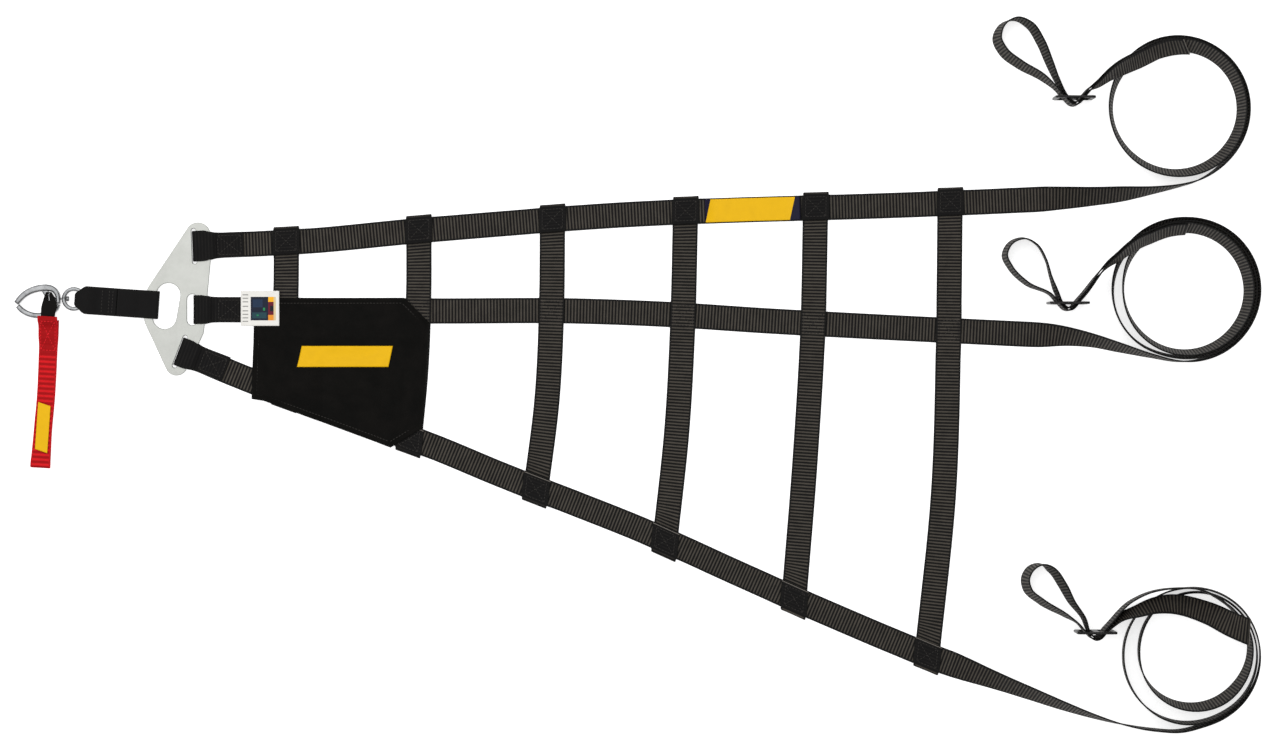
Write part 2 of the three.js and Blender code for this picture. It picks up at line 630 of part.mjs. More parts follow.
// Swivel eye on a post through the shackle's closed end
const EYE = { x: -565, y: 73, r: 11.9, hole: 8.1 };
const POST = { y: 73.2, z: 3.7, r: 1, head: 2.4, play: 0.3 };
const rodX = (x0, x1, r, sides = 16) => bare(new THREE.CylinderGeometry(r, r, x1 - x0, sides)
  .rotateZ(Math.PI / 2).translate((x0 + x1) / 2, POST.y, POST.z));
const joined = (...parts) => parts.map(solidOf).reduce((a, b) => a.add(b));
const bored = (geometry, ...tools) => (
  geometryOf(tools.map(solidOf).reduce((a, b) => a.subtract(b), solidOf(geometry)))
);
const eye = cutOut(belt([[EYE.x, EYE.y, EYE.r]], 40), [belt([[EYE.x, EYE.y, EYE.hole]], 32)],
  POST.z - EYE_THICK / 2, EYE_THICK, 0.8);
add('swivel_eye', bored(eye, rodX(-580, -570, POST.r + POST.play)), POLISHED);
add('swivel_post', geometryOf(joined(rodX(-585.2, -583.8, 2), rodX(-584.6, -570.5, POST.r),
  rodX(-572.4, -569.8, POST.head))), POLISHED);

// Shackle: a curved body, and a gate that closes its open side between the nose and the hinge
const BODY = [[-622.3, 68.6, 4.6], [-620.5, 71, 5], [-616, 75.9, 5.6], [-610.5, 79.8, 6], [-604, 82.5, 6.3],
  [-596.5, 84, 6.5], [-589.5, 84, 6.3], [-584.5, 82, 5.4], [-581.3, 77.7, 4.6], [-580.5, 72, 4.2],
  [-580.5, 68.2, 4.2]];
const GATE = [[-620.8, 66, 4.6], [-617.5, 62.5, 5], [-612.5, 59.2, 5.2], [-606.5, 57, 5], [-599.5, 56.4, 5],
  [-592, 57.4, 5], [-585.5, 60.6, 4.8], [-581.6, 64.6, 4.4], [-580.7, 67.7, 4.2]];
const TRIGGER = [[-594, 82, 3], [-589.6, 72, 2.2]];
const PIN = { x: -582, y: 64, r: 1.3 };
const upright = (r, z0, z1) => bare(new THREE.CylinderGeometry(r, r, z1 - z0, 16)
  .rotateX(Math.PI / 2).translate(PIN.x, PIN.y, (z0 + z1) / 2));
const pocket = cutOut(belt(TRIGGER.map(([x, y, r]) => [x, y, r + 0.35]), 20), [], 1.65, 4.1, 0);
add('shackle_body', bored(cutOut(barOutline(BODY, 26), [], 0, SHACKLE_THICK, 1), pocket,
  rodX(-586, -577, POST.r + POST.play)), POLISHED);
add('shackle_gate', bored(cutOut(barOutline(GATE, 20), [], 0, SHACKLE_THICK, 1),
  upright(PIN.r + 0.3, -1, SHACKLE_THICK + 1)), POLISHED);
add('hinge_pin', upright(PIN.r, 0, SHACKLE_THICK + 0.1), POLISHED);
add('trigger', cutOut(belt(TRIGGER, 20), [], 2, 3.4, 0.5), POLISHED);

// Stations through x, y, height and half width rows, with one direction for the strip's width
const routed = (rows, across, step = STEP) => follow(rows, step)
  .map(([x, y, z, half]) => ({ p: point(x, y, z), w: across.clone(), half }));

// Lashing from the ribbon over the gate to the trigger, with a slit over the trigger's tip
const LASH_THICK = 2.4;
const LASHING = [[-590.2, 36, 3], [-590.2, 45, 3], [-590.2, 49, 5.4], [-590.2, 52.6, 8.6], [-590, 55.5, 9.1],
  [-589.5, 60, 9.3], [-588.8, 64, 9.2], [-588.6, 69, 8.8], [-588.6, 75, 8.7], [-589.1, 79.7, 8.6]];
const LASH_HALF = [6.8, 6.8, 6.8, 6.9, 7, 7.3, 7.8, 6.9, 5, 2.6];
const slit = bare(new THREE.BoxGeometry(2.4, 7.6, 8).translate(-589.3, 75, 9));
const lashed = routed(LASHING.map((row, i) => [...row, LASH_HALF[i]]), point(1, 0));
add('lashing', bored(strip(lashed, LASH_THICK), slit), CLOTH);

// Red ribbon, folded at its far end, its two open ends sewn together over the lashing
const RIBBON_TURN = 0.9;
const RIBBON_WAY = point(0.998, -0.06);
const RIBBON = [
  [-590.2, 52.2, 0.6, 9.9], [-590.6, 36, 0.6, 9.8], [-591, 22, 0.6, 9.2], [-593.5, -28, 0.6, 9],
  [-596, -55, 0.6, 9],
  [-598, -82, 0.6, 9.6], ...[-90, -60, -30, 0, 30, 60, 90].map((a) => (
    [-598.9, -94.5 - RIBBON_TURN * Math.cos(rad(a)), 0.6 + RIBBON_TURN * (1 + Math.sin(rad(a))), 10]
  )), [-598, -82, 2.4, 9.6],
  [-596, -55, 2.4, 9], [-593.5, -28, 2.4, 9], [-591, 22, 2.4, 9.2], [-590.8, 26, 2.6, 9.3],
  [-590.6, 36, 5.2, 9.6], [-590.4, 43.5, 5.4, 9.7], [-590.3, 47.5, 7.2, 9.8], [-590.2, 51.4, 10.7, 9.9],
  [-590.1, 55.5, 11.4, 9.9],
];
add('ribbon', strip(routed(RIBBON, RIBBON_WAY, 0.8), RIBBON_THICK), RED);
const LABEL_WAY = point(0.945, -0.327);
const RIBBON_LABEL = [[-594.4, -32, 3.9, 6.5], [-596, -55, 3.9, 6.5], [-597.7, -79, 3.9, 6.5]];
add('ribbon_label', strip(routed(RIBBON_LABEL, LABEL_WAY), LABEL_THICK), YELLOW);

// Cloth pad over the straps: it rises over each strap and higher where straps lie over each other
const PAD_LOWER = stepped([[-387.5, -27], [-375, -28.8], [-248.5, -75.5], [-216.5, -56]], [1, 14, 3]);
const PAD_UPPER = stepped([[-384.5, 74], [-235, 74.2], [-210, 49.5]], [15, 3]);
const PAD_BASE = 0.3;
const PAD_CLEAR = 9;
const PAD_RAMP = 25;
const near = (away) => ease((HALF + PAD_CLEAR + PAD_RAMP - Math.abs(away)) / PAD_RAMP);
const raised = (away) => ease((CROSS_FLAT + CROSS_RAMP + PAD_CLEAR - Math.abs(away)) / CROSS_RAMP);

function padHeight(x, y) {
  const offMiddle = y - yAt(LONG.middle.flat, x);
  const offLower = (y - yAt(LONG.lower.flat, x)) * Math.cos(rad(20));
  const over = (level, share) => (level - PAD_BASE) * share;
  const rises = CROSSINGS.slice(0, 2).flatMap(({ x: [, xMid, xLow, xDown] }) => {
    const offCross = x - yAt([[-150, xDown], [-15, xLow], [60, xMid]], y);
    return [
      over(LAYER * (1 + raised(offMiddle)), near(offCross)),
      over(LAYER * (1 + raised(offCross)), near(offLower)),
      over(3 * LAYER, near(offLower) * near(offCross)),
    ];
  });
  return PAD_BASE + Math.max(over(LAYER, near(offMiddle)), ...rises);
}
add('pad', draped(PAD_LOWER, PAD_UPPER, 18, padHeight, PAD_THICK), CLOTH);

// Labels, all plain: one on the pad, one over the pad's edge, one along the upper strap
const PAD_LABEL = { x: [-339.5, -248.5], y: [5, 26], slant: 2.2, gap: 0.6 };
const labelEdge = (y, shift) => stepped(PAD_LABEL.x.map((x) => [x + shift, y]), [12]);
const [labelLow, labelHigh] = PAD_LABEL.y.map((y, i) => labelEdge(y, (2 * i - 1) * PAD_LABEL.slant));
add('pad_label', draped(labelLow, labelHigh, 3,
  (x, y) => padHeight(x, y) + PAD_THICK + PAD_LABEL.gap, LABEL_THICK), YELLOW);
const FOIL = [[0, 5.1], [8, 5.5], [16, 6.25], [22, 6.75], [38.5, 6.8]].map((row) => [...row, 17.5]);
add('foil_label', strip(bent(point(-398, 63.5), point(1, 0), point(0, 1), FOIL), LABEL_THICK), WHITE);
const LABELLED = [65.5, 160.5];
const onStrap = long.upper.filter(({ p }) => p.x > LABELLED[0] && p.x < LABELLED[1])
  .map(({ p, w }) => ({ p: p.clone().setZ(p.z + (WEB_THICK + LABEL_THICK) / 2 + GAP), w, half: 11.5 }));
add('strap_label', strip(onStrap, LABEL_THICK), YELLOW);

export default net;
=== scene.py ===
# %% [markdown]
# # A racing window net
# A window net is a fan of flat straps that closes a racing car's side window. This one lies flat
# on a white surface: three long straps run from a metal plate to coiled tails, and six straps
# cross them. Almost all of it is webbing, so most of this lesson is about one thing: laying a
# strap along a route, and making it look woven.
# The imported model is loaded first. It is the frame that every piece below has to fit.

# %% Load the frame
import math

import bmesh
import bpy
import numpy as np
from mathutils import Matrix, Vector


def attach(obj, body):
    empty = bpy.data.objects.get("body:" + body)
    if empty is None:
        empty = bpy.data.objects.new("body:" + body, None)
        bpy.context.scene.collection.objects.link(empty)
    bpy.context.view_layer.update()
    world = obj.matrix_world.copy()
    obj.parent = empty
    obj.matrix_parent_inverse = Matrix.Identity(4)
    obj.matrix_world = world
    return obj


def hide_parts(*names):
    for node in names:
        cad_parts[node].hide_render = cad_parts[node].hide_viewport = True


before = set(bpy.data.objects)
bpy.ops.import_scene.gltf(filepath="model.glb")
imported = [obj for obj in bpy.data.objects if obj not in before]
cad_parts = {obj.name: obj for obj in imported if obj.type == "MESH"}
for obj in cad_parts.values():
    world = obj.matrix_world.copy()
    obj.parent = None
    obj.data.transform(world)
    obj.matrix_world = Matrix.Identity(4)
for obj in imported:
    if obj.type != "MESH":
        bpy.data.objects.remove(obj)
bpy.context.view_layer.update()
print("nodes in the frame:", len(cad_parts))

# %% [markdown]
# ## Units
# The net's sizes are easier to read in millimetres, but Blender works in metres here. Every
# length in the tables below is in millimetres and is turned to metres when a mesh is made.

# %% Sizes of the webbing, and small helpers
MM = 0.001
HALF = 12.7            # half of webbing that is 25.4 mm wide
THICK = 1.5
GAP = 0.4              # air between one layer and the next
LAYER = THICK + GAP    # height that one strap adds to the strap laid over it
UP = np.array([0.0, 0.0, 1.0])


def vec(x, y, z=0.0):
    return np.array([x, y, z], float)


def unit(v):
    return v / np.linalg.norm(v)


def units(rows):
    return rows / np.linalg.norm(rows, axis=1)[:, None]


def circle(degrees):
    """Cosine and sine of an angle in degrees."""
    return math.cos(math.radians(degrees)), math.sin(math.radians(degrees))


def ease(f):
    f = np.clip(f, 0.0, 1.0)
    return f * f * (3 - 2 * f)


print("webbing in mm:", 2 * HALF, "by", THICK)

# %% [markdown]
# ## Routes
# A strap is a width that travels along a line. Each place on its route is a station: the point
# in its middle, the direction of its width and half that width. A short table of measured rows
# gives the route, and a cubic curve through the rows gives the stations in between.
# Columns after the second are kept from swinging past their rows, so that a flat strap stays flat.

# %% Follow a table
STEP = 0.75            # mm between stations


def follow(rows, step=STEP):
    rows = np.array(rows, float)
    gone = np.linalg.norm(np.diff(rows[:, :3], axis=0), axis=1)
    rise = np.diff(rows, axis=0) / gone[:, None]
    slope = np.empty_like(rows)
    slope[0], slope[-1] = rise[0], rise[-1]
    for i in range(1, len(rows) - 1):
        before, after = gone[i - 1], gone[i]
        even = (rise[i - 1] * after + rise[i] * before) / (before + after)
        most = 3 * np.minimum(np.abs(rise[i - 1]), np.abs(rise[i]))
        kept = np.where(rise[i - 1] * rise[i] > 0, np.sign(even) * np.minimum(np.abs(even), most), 0)
        slope[i] = np.concatenate([even[:2], kept[2:]])
    out = []
    for i, span in enumerate(gone):
        count = max(1, math.ceil(span / step))
        last = count + 1 if i == len(gone) - 1 else count
        f = (np.arange(last) / count)[:, None]
        out.append(rows[i] * (1 + 2 * f) * (1 - f) ** 2 + rows[i + 1] * f * f * (3 - 2 * f)
                   + span * (slope[i] * f * (1 - f) ** 2 - slope[i + 1] * f * f * (1 - f)))
    return np.vstack(out)


# %% [markdown]
# Three kinds of route use it. A laid strap turns about its length: lean 0 is flat, 90 stands on
# edge, and past 90 its top leans to the right of the way it runs. A bent strap stays in an upright
# plane, as in a fold. A routed strap keeps one direction for its width.

# %% Three kinds of route
class Stations:
    """Middle points, width directions and half widths, one row each."""

    def __init__(self, p, w, half):
        self.p, self.w, self.half = np.array(p, float), np.array(w, float), np.array(half, float)

    def __len__(self):
        return len(self.p)

    def part(self, a, b):
        return Stations(self.p[a:b], self.w[a:b], self.half[a:b])

    def back(self):
        return Stations(self.p[::-1], self.w[::-1], self.half[::-1])


def join(*runs):
    return Stations(*(np.concatenate([getattr(r, k) for r in runs]) for k in ("p", "w", "half")))


def ways(p):
    ahead, behind = np.roll(p, -1, axis=0), np.roll(p, 1, axis=0)
    ahead[-1], behind[0] = p[-1], p[0]
    return units(ahead - behind)


def spans(p):
    return np.linalg.norm(np.diff(p, axis=0), axis=1)


def distances(p):
    return np.concatenate([[0], np.cumsum(spans(p))])


def faces(run):
    """Which way the strap's upper face looks at each station."""
    return units(np.cross(ways(run.p), run.w))


def laid(rows, thick=THICK):
    rows = follow(rows)
    flat = rows[:, :3] * [1, 1, 0]
    way = ways(flat)
    left = np.stack([-way[:, 1], way[:, 0], np.zeros(len(way))], axis=1)
    turn = np.radians(rows[:, 3])[:, None]
    w = left * np.cos(turn) + UP * np.sin(turn)
    rise, level = np.abs(np.sin(turn[:, 0])), np.abs(np.cos(turn[:, 0]))
    p = flat.copy()
    p[:, 2] = rows[:, 2] + rows[:, 4] * rise + thick / 2 * level
    return Stations(p, w, rows[:, 4])


def bent(start, way, across, rows, step=STEP):
    rows = follow([[u, 0, z, half] for u, z, half in rows], step)
    p = start * [1, 1, 0] + rows[:, :1] * way + rows[:, 2:3] * UP
    return Stations(p, np.tile(across, (len(p), 1)), rows[:, 3])


def routed(rows, across, step=STEP):
    rows = follow(rows, step)
    return Stations(rows[:, :3], np.tile(across, (len(rows), 1)), rows[:, 3])


def nearest(run, x, y, first):
    return first + int(np.argmin(np.hypot(run.p[first:, 0] - x, run.p[first:, 1] - y)))


def y_at(rows, x):
    return np.interp(x, [r[0] for r in rows], [r[1] for r in rows])


# %% [markdown]
# ## The net's tables
# Where the straps lie, read off the photograph of the net. The six crossing straps are given by
# their x at the upper strap, the middle strap, half way down and at the lower strap.

# %% Long and crossing straps
CROSSINGS = {
    "cross_strap_1": [-353, -353.5, -354, -355],
    "cross_strap_2": [-220.5, -221, -224, -230],
    "cross_strap_3": [-87, -88, -92.5, -103.5],
    "cross_strap_4": [46, 43.5, 37.5, 25.5],
    "cross_strap_5": [176, 173.5, 165.5, 154.5],
    "cross_strap_6": [310.5, 309, 304, 287.5],
}
LONG = {
    "upper": dict(slot=(-442.5, 125.7), bar=13.8, heading=2.3, fold=15.3, crossed=0, flat=[
        [-415, 126.9], [-385, 128], [-330, 131], [-240, 139.5], [-140, 148], [-10, 157.5],
        [100, 162], [190, 164.5], [330, 169.5], [385, 172]]),
    "middle": dict(slot=(-441.5, 62.3), bar=8.5, heading=0, fold=14.4, crossed=None, flat=[
        [-415, 62.3], [-330, 61.5], [-200, 61], [-64, 61], [20, 58], [130, 51], [250, 44.5],
        [330, 40.5], [375, 38.3]]),
    "lower": dict(slot=(-456.8, 19.6), bar=11, heading=-21, fold=14.6, crossed=3, flat=[
        [-430, 8.6], [-395, -6], [-300, -40.5], [-200, -77], [-140, -102], [-64, -131.5], [0, -157],
        [100, -202], [190, -242], [304, -289]]),
}

# %% [markdown]
# Each long strap ends in a tail. It twists up on edge, winds inwards round a centre, climbs over
# its own turns and runs out to a slide. Past the slide it makes a loop, comes back through the
# slide and lies beside itself up to its cut end. Ring rows are angle, distance, lift and lean.

# %% Tails
TAILS = {
    "upper": dict(
        twist=[[420.5, 173.5, 0, 28], [450.5, 175, 0, 45], [480.5, 177.3, 0, 57], [512, 181, 0, 76]],
        centre=[536.5, 263.6],
        ring=[[-85, 77, 0, 88], [-50, 71.5, 0, 93], [0, 67.5, 0, 100], [60, 66.3, 0, 104],
              [120, 66.3, 0, 112], [180, 67, 0, 105], [240, 65.8, 0, 110], [300, 65, 0, 110],
              [360, 63.8, 0, 103], [410, 63.3, 0, 108], [442, 62.5, 2, 116], [480, 61, 7, 125],
              [500, 66.5, 18, 123], [510, 73, 26, 118], [517, 79, 27.5, 110], [523.3, 84.6, 21, 102]],
        slide=[432.3, 272.8],
        loop=[[-17, 17.8, 4, 94], [-24, 34.8, 2, 99], [-33, 56.8, 0, 101], [-44, 73, 0, 99],
              [-57, 79, 0, 92], [-71, 72.8, 0, 82], [-76, 59.8, 0, 76], [-70, 46.8, 0, 76],
              [-54, 33.8, 1, 77], [-31, 20.3, 3, 82]],
        end=435,
    ),
    "middle": dict(
        twist=[[398, 37.2, 0, 12], [420.5, 36, 0, 38], [450.5, 31.5, 0, 60], [480.5, 23.7, 0, 72],
               [510.5, 16, 0, 84]],
        centre=[543.4, 81],
        ring=[[-93, 70.5, 0, 90], [-45, 70.5, 0, 96], [0, 71, 0, 100], [45, 70.5, 0, 102],
              [90, 69.5, 0, 104], [130, 70.5, 0, 108], [180, 72, 0, 101], [225, 70, 0, 98],
              [250, 67, 0, 97], [270, 66.3, 0, 97], [315, 67, 0, 99], [360, 67.5, 0, 101],
              [405, 67, 0, 103], [450, 66, 0, 106], [490, 64.8, 0, 108], [540, 61.6, 0, 100],
              [585, 61, 0, 104], [630, 61.8, 0, 104], [675, 62.8, 0, 104], [720, 64, 0, 104],
              [765, 63.6, 0, 106], [800, 63, 0, 110], [825, 63.4, 5, 115], [845, 65.2, 11, 115],
              [855, 69, 21.5, 115], [863, 72.6, 27.5, 113], [873, 77.5, 27.5, 108], [881, 84, 20, 100]],
        slide=[426.4, 68.7],
        loop=[[-12, 11.5, 4, 92], [-17, 25.5, 3, 88], [-22, 43.5, 1, 86], [-31, 58.5, 0, 86],
              [-43, 64.5, 0, 86], [-57, 59.5, 0, 85], [-62.5, 47.5, 0, 84], [-57, 35.5, 0, 85],
              [-41, 19.5, 2, 86]],
        end=803,
    ),
    "lower": dict(
        twist=[[322, -295.6, 0, 18], [340, -302.2, 0, 35], [360.5, -309.7, 0, 47], [390.5, -320.8, 0, 58],
               [420.5, -332, 0, 67], [450.5, -342.3, 0, 77], [480.5, -350.8, 0, 86],
               [512, -356.3, 0, 90]],
        centre=[550.8, -282.4],
        ring=[[-98, 75.6, 0, 90], [-85, 71, 0, 90], [-65, 68.6, 0, 88], [-44, 68, 0, 84],
              [5, 67.4, 0, 80], [45, 67.5, 0, 84], [90, 67.5, 0, 92], [130, 68.5, 0, 98],
              [171, 69, 0, 96], [232, 69, 0, 92], [258, 68, 0, 92], [276, 66.6, 0, 91], [295, 65, 0, 88],
              [316, 64.6, 0, 84], [365, 64.3, 0, 80], [405, 64.3, 0, 84], [440, 63.6, 0, 90],
              [480, 60, 0, 95], [535, 53.6, 0, 95], [575, 52, 0, 98], [616, 51.3, 0, 103],
              [662, 52.5, 0, 105], [691, 54, 0, 100], [715, 56.6, 0, 94], [740, 59.5, 0, 91],
              [757, 60.4, 0, 90], [766, 60.4, 0.8, 90], [774, 60.5, 10, 90], [783, 60.9, 22, 90],
              [790, 62.2, 27.4, 91], [806, 67, 27.6, 92], [826, 71.6, 27, 93], [846, 78.7, 17, 93],
              [860, 83.5, 9, 92]],
        slide=[453.6, -258.6],
        loop=[[-12, 14, 4, 94], [-23.5, 30, 2, 100], [-32.5, 47, 0, 104], [-42.5, 61, 0, 104],
              [-52.5, 67, 0, 92], [-63.5, 63, 0, 82], [-69, 53, 0, 78], [-67, 42, 0, 76],
              [-53.5, 30, 1, 76], [-29, 16, 3, 82]],
        end=[[476.5, -245, 8, 100], [493, -236.5, 24.5, 112], [507, -231.5, 27, 122],
             [521, -229.5, 27, 132], [563.4, -239, 29.8, 152], [586, -250, 31.2, 168],
             [604.4, -257.7, 30.4, 178]],
    ),
}

# %% [markdown]
# The strap's short end is folded over the plate's bar, goes down through the slot and comes back
# under the bar, so the strap starts as a fold in an upright plane.

# %% The fold on the plate
PLATE_Z, PLATE_THICK = LAYER, 3.0
FOLD_END = 47          # where the flat run begins, in mm from the slot
FOLD_START = -3.4      # the outermost point of the turn round the bar


def plate_fold(spec):
    way = vec(*circle(spec["heading"]))
    across = vec(-way[1], way[0])
    bar, wide = spec["bar"], spec["fold"]
    low, high = THICK / 2, PLATE_Z + PLATE_THICK + GAP + THICK / 2
    r = (high - low) / 2
    turn = [[FOLD_START + r + r * c, low + r + r * s, wide] for c, s in map(circle, range(90, 271, 30))]
    rows = [[FOLD_END, low + LAYER, HALF], [bar + 14, low + LAYER, HALF],
            [bar + 8, low + LAYER + 0.3, HALF + 0.2], [bar + 1.5, high, HALF + 0.8], [bar / 2, high, wide],
            *turn, [6, low, wide], [bar + 6, low, HALF + 0.2]]
    return bent(vec(*spec["slot"]), way, across, rows)


# %% [markdown]
# The whole strap is fold, flat run, twist, coil, slide, loop and loose end in one. Where a crossing
# strap passes under it, it is lifted by one layer over a short ramp.

# %% One long strap
CROSS_FLAT, CROSS_RAMP = HALF + 3, 14    # a raised stretch's half length, and its ramp
ARC_STEP, TURN_GAP, SLIDE_LIFT = 12, 2.3, 3.8
MM_PER_DEGREE = 1.15                     # a coil's arc, where its radius is about 66 mm
# Along and across from the slide's middle: in over its bars, round, and back beside itself
THREADED = [[13, 8, 5.5], [8.5, 2.6, 3.8], [5.2, -1.8, 3.8], [2.4, -4.3, 3.8], [0, -5, 3.8],
            [-2.4, -4.3, 3.8], [-5.2, -1.8, 3.8]]
RETURNED = [[-16, 7], [-12, 2.2], [-9.4, -0.6]]
TAIL_END, CLIMB_END, ARM_END = 800, 520, 40    # how many stations back a place is looked for


def lifted(away, flat=CROSS_FLAT, ramp=CROSS_RAMP):
    return ease((flat + ramp - np.abs(away)) / ramp)


def ring_rows(tail):
    cx, cy = tail["centre"]
    rows = follow([[angle * MM_PER_DEGREE, 0, 0, *rest] for angle, *rest in tail["ring"]], ARC_STEP)
    out = []
    for arc, _, _, r, lift, lean in rows:
        c, s = circle(arc / MM_PER_DEGREE)
        out.append([cx + r * c, cy + r * s, max(lift, 0), lean, HALF])
    return out


def beside(run, gap):
    return Stations(run.p - faces(run) * gap, run.w, run.half)


def long_strap(key):
    spec, tail = LONG[key], TAILS[key]
    sx, sy = tail["slide"]
    ring = ring_rows(tail)
    fold = plate_fold(spec)
    run = laid([[*fold.p[-1][:2], 0, 0, fold.half[-1]], *[[x, y, 0, 0, HALF] for x, y in spec["flat"]],
                *[[*row, HALF] for row in tail["twist"]], *ring,
                *[[sx + u, sy + v, lift, 90, HALF] for u, v, lift in THREADED],
                *[[sx + u, sy + v, lift, lean, HALF] for u, v, lift, lean in tail["loop"]],
                *[[sx + u, sy + v, SLIDE_LIFT, 90, HALF] for u, v in RETURNED]]).part(1, None)
    if spec["crossed"] is not None:
        c, _ = circle(spec["heading"])
        high = np.max([lifted((run.p[:, 0] - xs[spec["crossed"]]) / c) for xs in CROSSINGS.values()],
                      axis=0)
        run.p[:, 2] += LAYER * high * (run.p[:, 0] < spec["flat"][-1][0] + 10)
    mid = nearest(run, sx, sy - 5, len(run) - TAIL_END)
    left_arm = nearest(run, sx - 5.2, sy - 1.8, mid)
    if isinstance(tail["end"], list):
        right_arm = nearest(run, sx + 9, sy + 3.2, mid - ARM_END)
        arm = beside(run.part(right_arm, left_arm + 1), TURN_GAP).back()
        end = laid([[*arm.p[-1][:2], SLIDE_LIFT, 90, HALF], *[[*row, HALF] for row in tail["end"]]])
        end = join(arm, end.part(1, None))
    else:
        first, last = tail["ring"][0][0], tail["ring"][-1][0]
        at = ring[round((tail["end"] - first) / (last - first) * (len(ring) - 1))]
        cut = nearest(run, at[0], at[1], mid - CLIMB_END)
        end = beside(run.part(cut, left_arm + 1), TURN_GAP).back()
    return join(fold, run, end)


long_runs = {key: long_strap(key) for key in LONG}
for key, run in long_runs.items():
    print(key, "strap, length in mm:", round(float(spans(run.p).sum())))

# %% [markdown]
# A crossing strap runs under the two outer straps and over the middle one. Each end wraps round
# the outer strap's far edge and is sewn down on its face, turned a little to lie along that strap.

# %% One crossing strap
PATCH_HALF = 13.8
TURN_RAMP = 30         # mm over which the strap turns to lie along the outer strap


def crossing_strap(xs):
    x_up, x_mid, x_low, x_down = xs
    at = lambda key, x: vec(x, y_at(LONG[key]["flat"], x))
    along = lambda key, x: unit(at(key, x + 4) - at(key, x - 4))
    up, mid, down = at("upper", x_up), at("middle", x_mid), at("lower", x_down)
    path = follow([[*up[:2], 0], [x_mid, mid[1], 0], [x_low, (mid[1] + down[1]) / 2, 0], [*down[:2], 0]])
    path[:, 2] = 0
    way = ways(path)
    square = np.stack([-way[:, 1], way[:, 0], np.zeros(len(way))], axis=1)
    p, w, half = [], [], []
    for q, s in zip(path, square):
        side = s
        for corner, way_there in ((up, along("upper", x_up)), (down, along("lower", x_down))):
            share = ease(1 - (np.linalg.norm(q - corner) - HALF) / TURN_RAMP)
            side = side + (way_there - side) * share
        side = unit(side)
        p.append([q[0], q[1], THICK / 2 + LAYER * lifted(q[1] - mid[1])])
        w.append(side)
        half.append(HALF / side.dot(s))
    inner = Stations(p, w, half)

    def end_fold(i, out):
        side, wide = inner.w[i], inner.half[i]
        edge = HALF / abs(out.dot(vec(-side[1], side[0])))
        low, r = THICK / 2, LAYER
        arc = [[edge + GAP + r * c, low + r + r * s, wide] for c, s in map(circle, range(-60, 61, 30))]
        patch = wide * PATCH_HALF / HALF
        return bent(inner.p[i], out, side, [
            [1, low, wide], [edge - 2, low, wide], *arc, [edge - 3, low + 2 * r, patch],
            [0, low + 2 * r, patch], [1 - edge, low + 2 * r, patch]])

    # Each end folds back along the way that the strap comes in over its last 12 mm
    out_up = unit((inner.p[0] - inner.p[16]) * [1, 1, 0])
    out_down = unit((inner.p[-1] - inner.p[-17]) * [1, 1, 0])
    return join(end_fold(0, out_up).back(), inner, end_fold(-1, out_down))


cross_runs = {name: crossing_strap(xs) for name, xs in CROSSINGS.items()}
print("crossing straps:", len(cross_runs))

# %% [markdown]
# ## Weaving the strap's mesh
# Heavy webbing is woven over thick filling threads, so it has ribs across it, 3.2 mm apart, and a
# smooth edge on each side. The ribs are wide enough to see, so they are real geometry: four rings
# of points a rib, each ring an outline of the strap's section with rounded edges.
# Every point also stores how far along and across the strap it lies, and how far it is from the
# cut end. The materials read these, so a weave follows its strap round every bend.

# %% Strap mesh from stations
RIB, RIB_DEPTH = 3.2, 0.17
SELVAGE = 1.5          # the smooth edge, which has no ribs
CUT_FADE = 30          # mm over which a slanted cut end is squared off


def resample(run, step):
    far = distances(run.p)
    s = np.linspace(0, far[-1], max(2, round(far[-1] / step) + 1))
    take = lambda v: np.stack([np.interp(s, far, v[:, k]) for k in range(3)], axis=1)
    return Stations(take(run.p), units(take(run.w)), np.interp(s, far, run.half)), s


def strap_mesh(name, run, thick=THICK, rib=RIB, depth=RIB_DEPTH, slant=0.0, selvage=SELVAGE,
               across=HALF):
    run, s = resample(run, rib / 4)
    n, t, face = len(s), thick / 2, faces(run)
    # Across the section: share of the half width, and share of the half thickness
    edge = [(1.0, 0.0), (0.985, 0.75), (0.93, 1.0)]
    inner = edge[-1][0] - max(selvage / HALF - 0.05, 0.03)
    mid = [(inner, 1.0), (0.3, 1.0), (-0.3, 1.0), (-inner, 1.0)]
    top = edge + mid + [(-u, v) for u, v in edge[::-1]]
    outline = top + [(u, -v) for u, v in top[-2:0:-1]]
    crest = 0.5 + 0.5 * np.cos(2 * np.pi * s / rib)
    points, cloth = [], []
    for u, v in outline:
        ribbed = abs(u) < 0.9 - selvage / HALF
        height = np.broadcast_to(t * v - (np.sign(v) * depth * (1 - crest) if ribbed else 0.0), (n,))
        points.append(run.p + run.w * (u * run.half)[:, None] + face * height[:, None])
        cloth.append(np.stack([s, np.full(n, u * across), s[-1] - s], axis=1))
    points, cloth = np.stack(points, axis=1), np.stack(cloth, axis=1)
    if slant:
        way = unit(run.p[-1] - run.p[-2])
        fade = np.clip(1 - (s[-1] - s) / CUT_FADE, 0, 1)[:, None, None]
        points += way * fade * slant * np.array([u for u, _ in outline])[None, :, None] * HALF
    m = len(outline)
    ring = np.arange(m)
    a = np.arange(n - 1)[:, None] * m + ring
    b = np.arange(n - 1)[:, None] * m + np.roll(ring, -1)
    quads = np.stack([a, b, b + m, a + m], axis=2).reshape(-1, 4)
    polygons = quads.tolist() + [ring[::-1].tolist(), (ring + (n - 1) * m).tolist()]
    return new_piece(name, points.reshape(-1, 3), polygons, cloth.reshape(-1, 3))


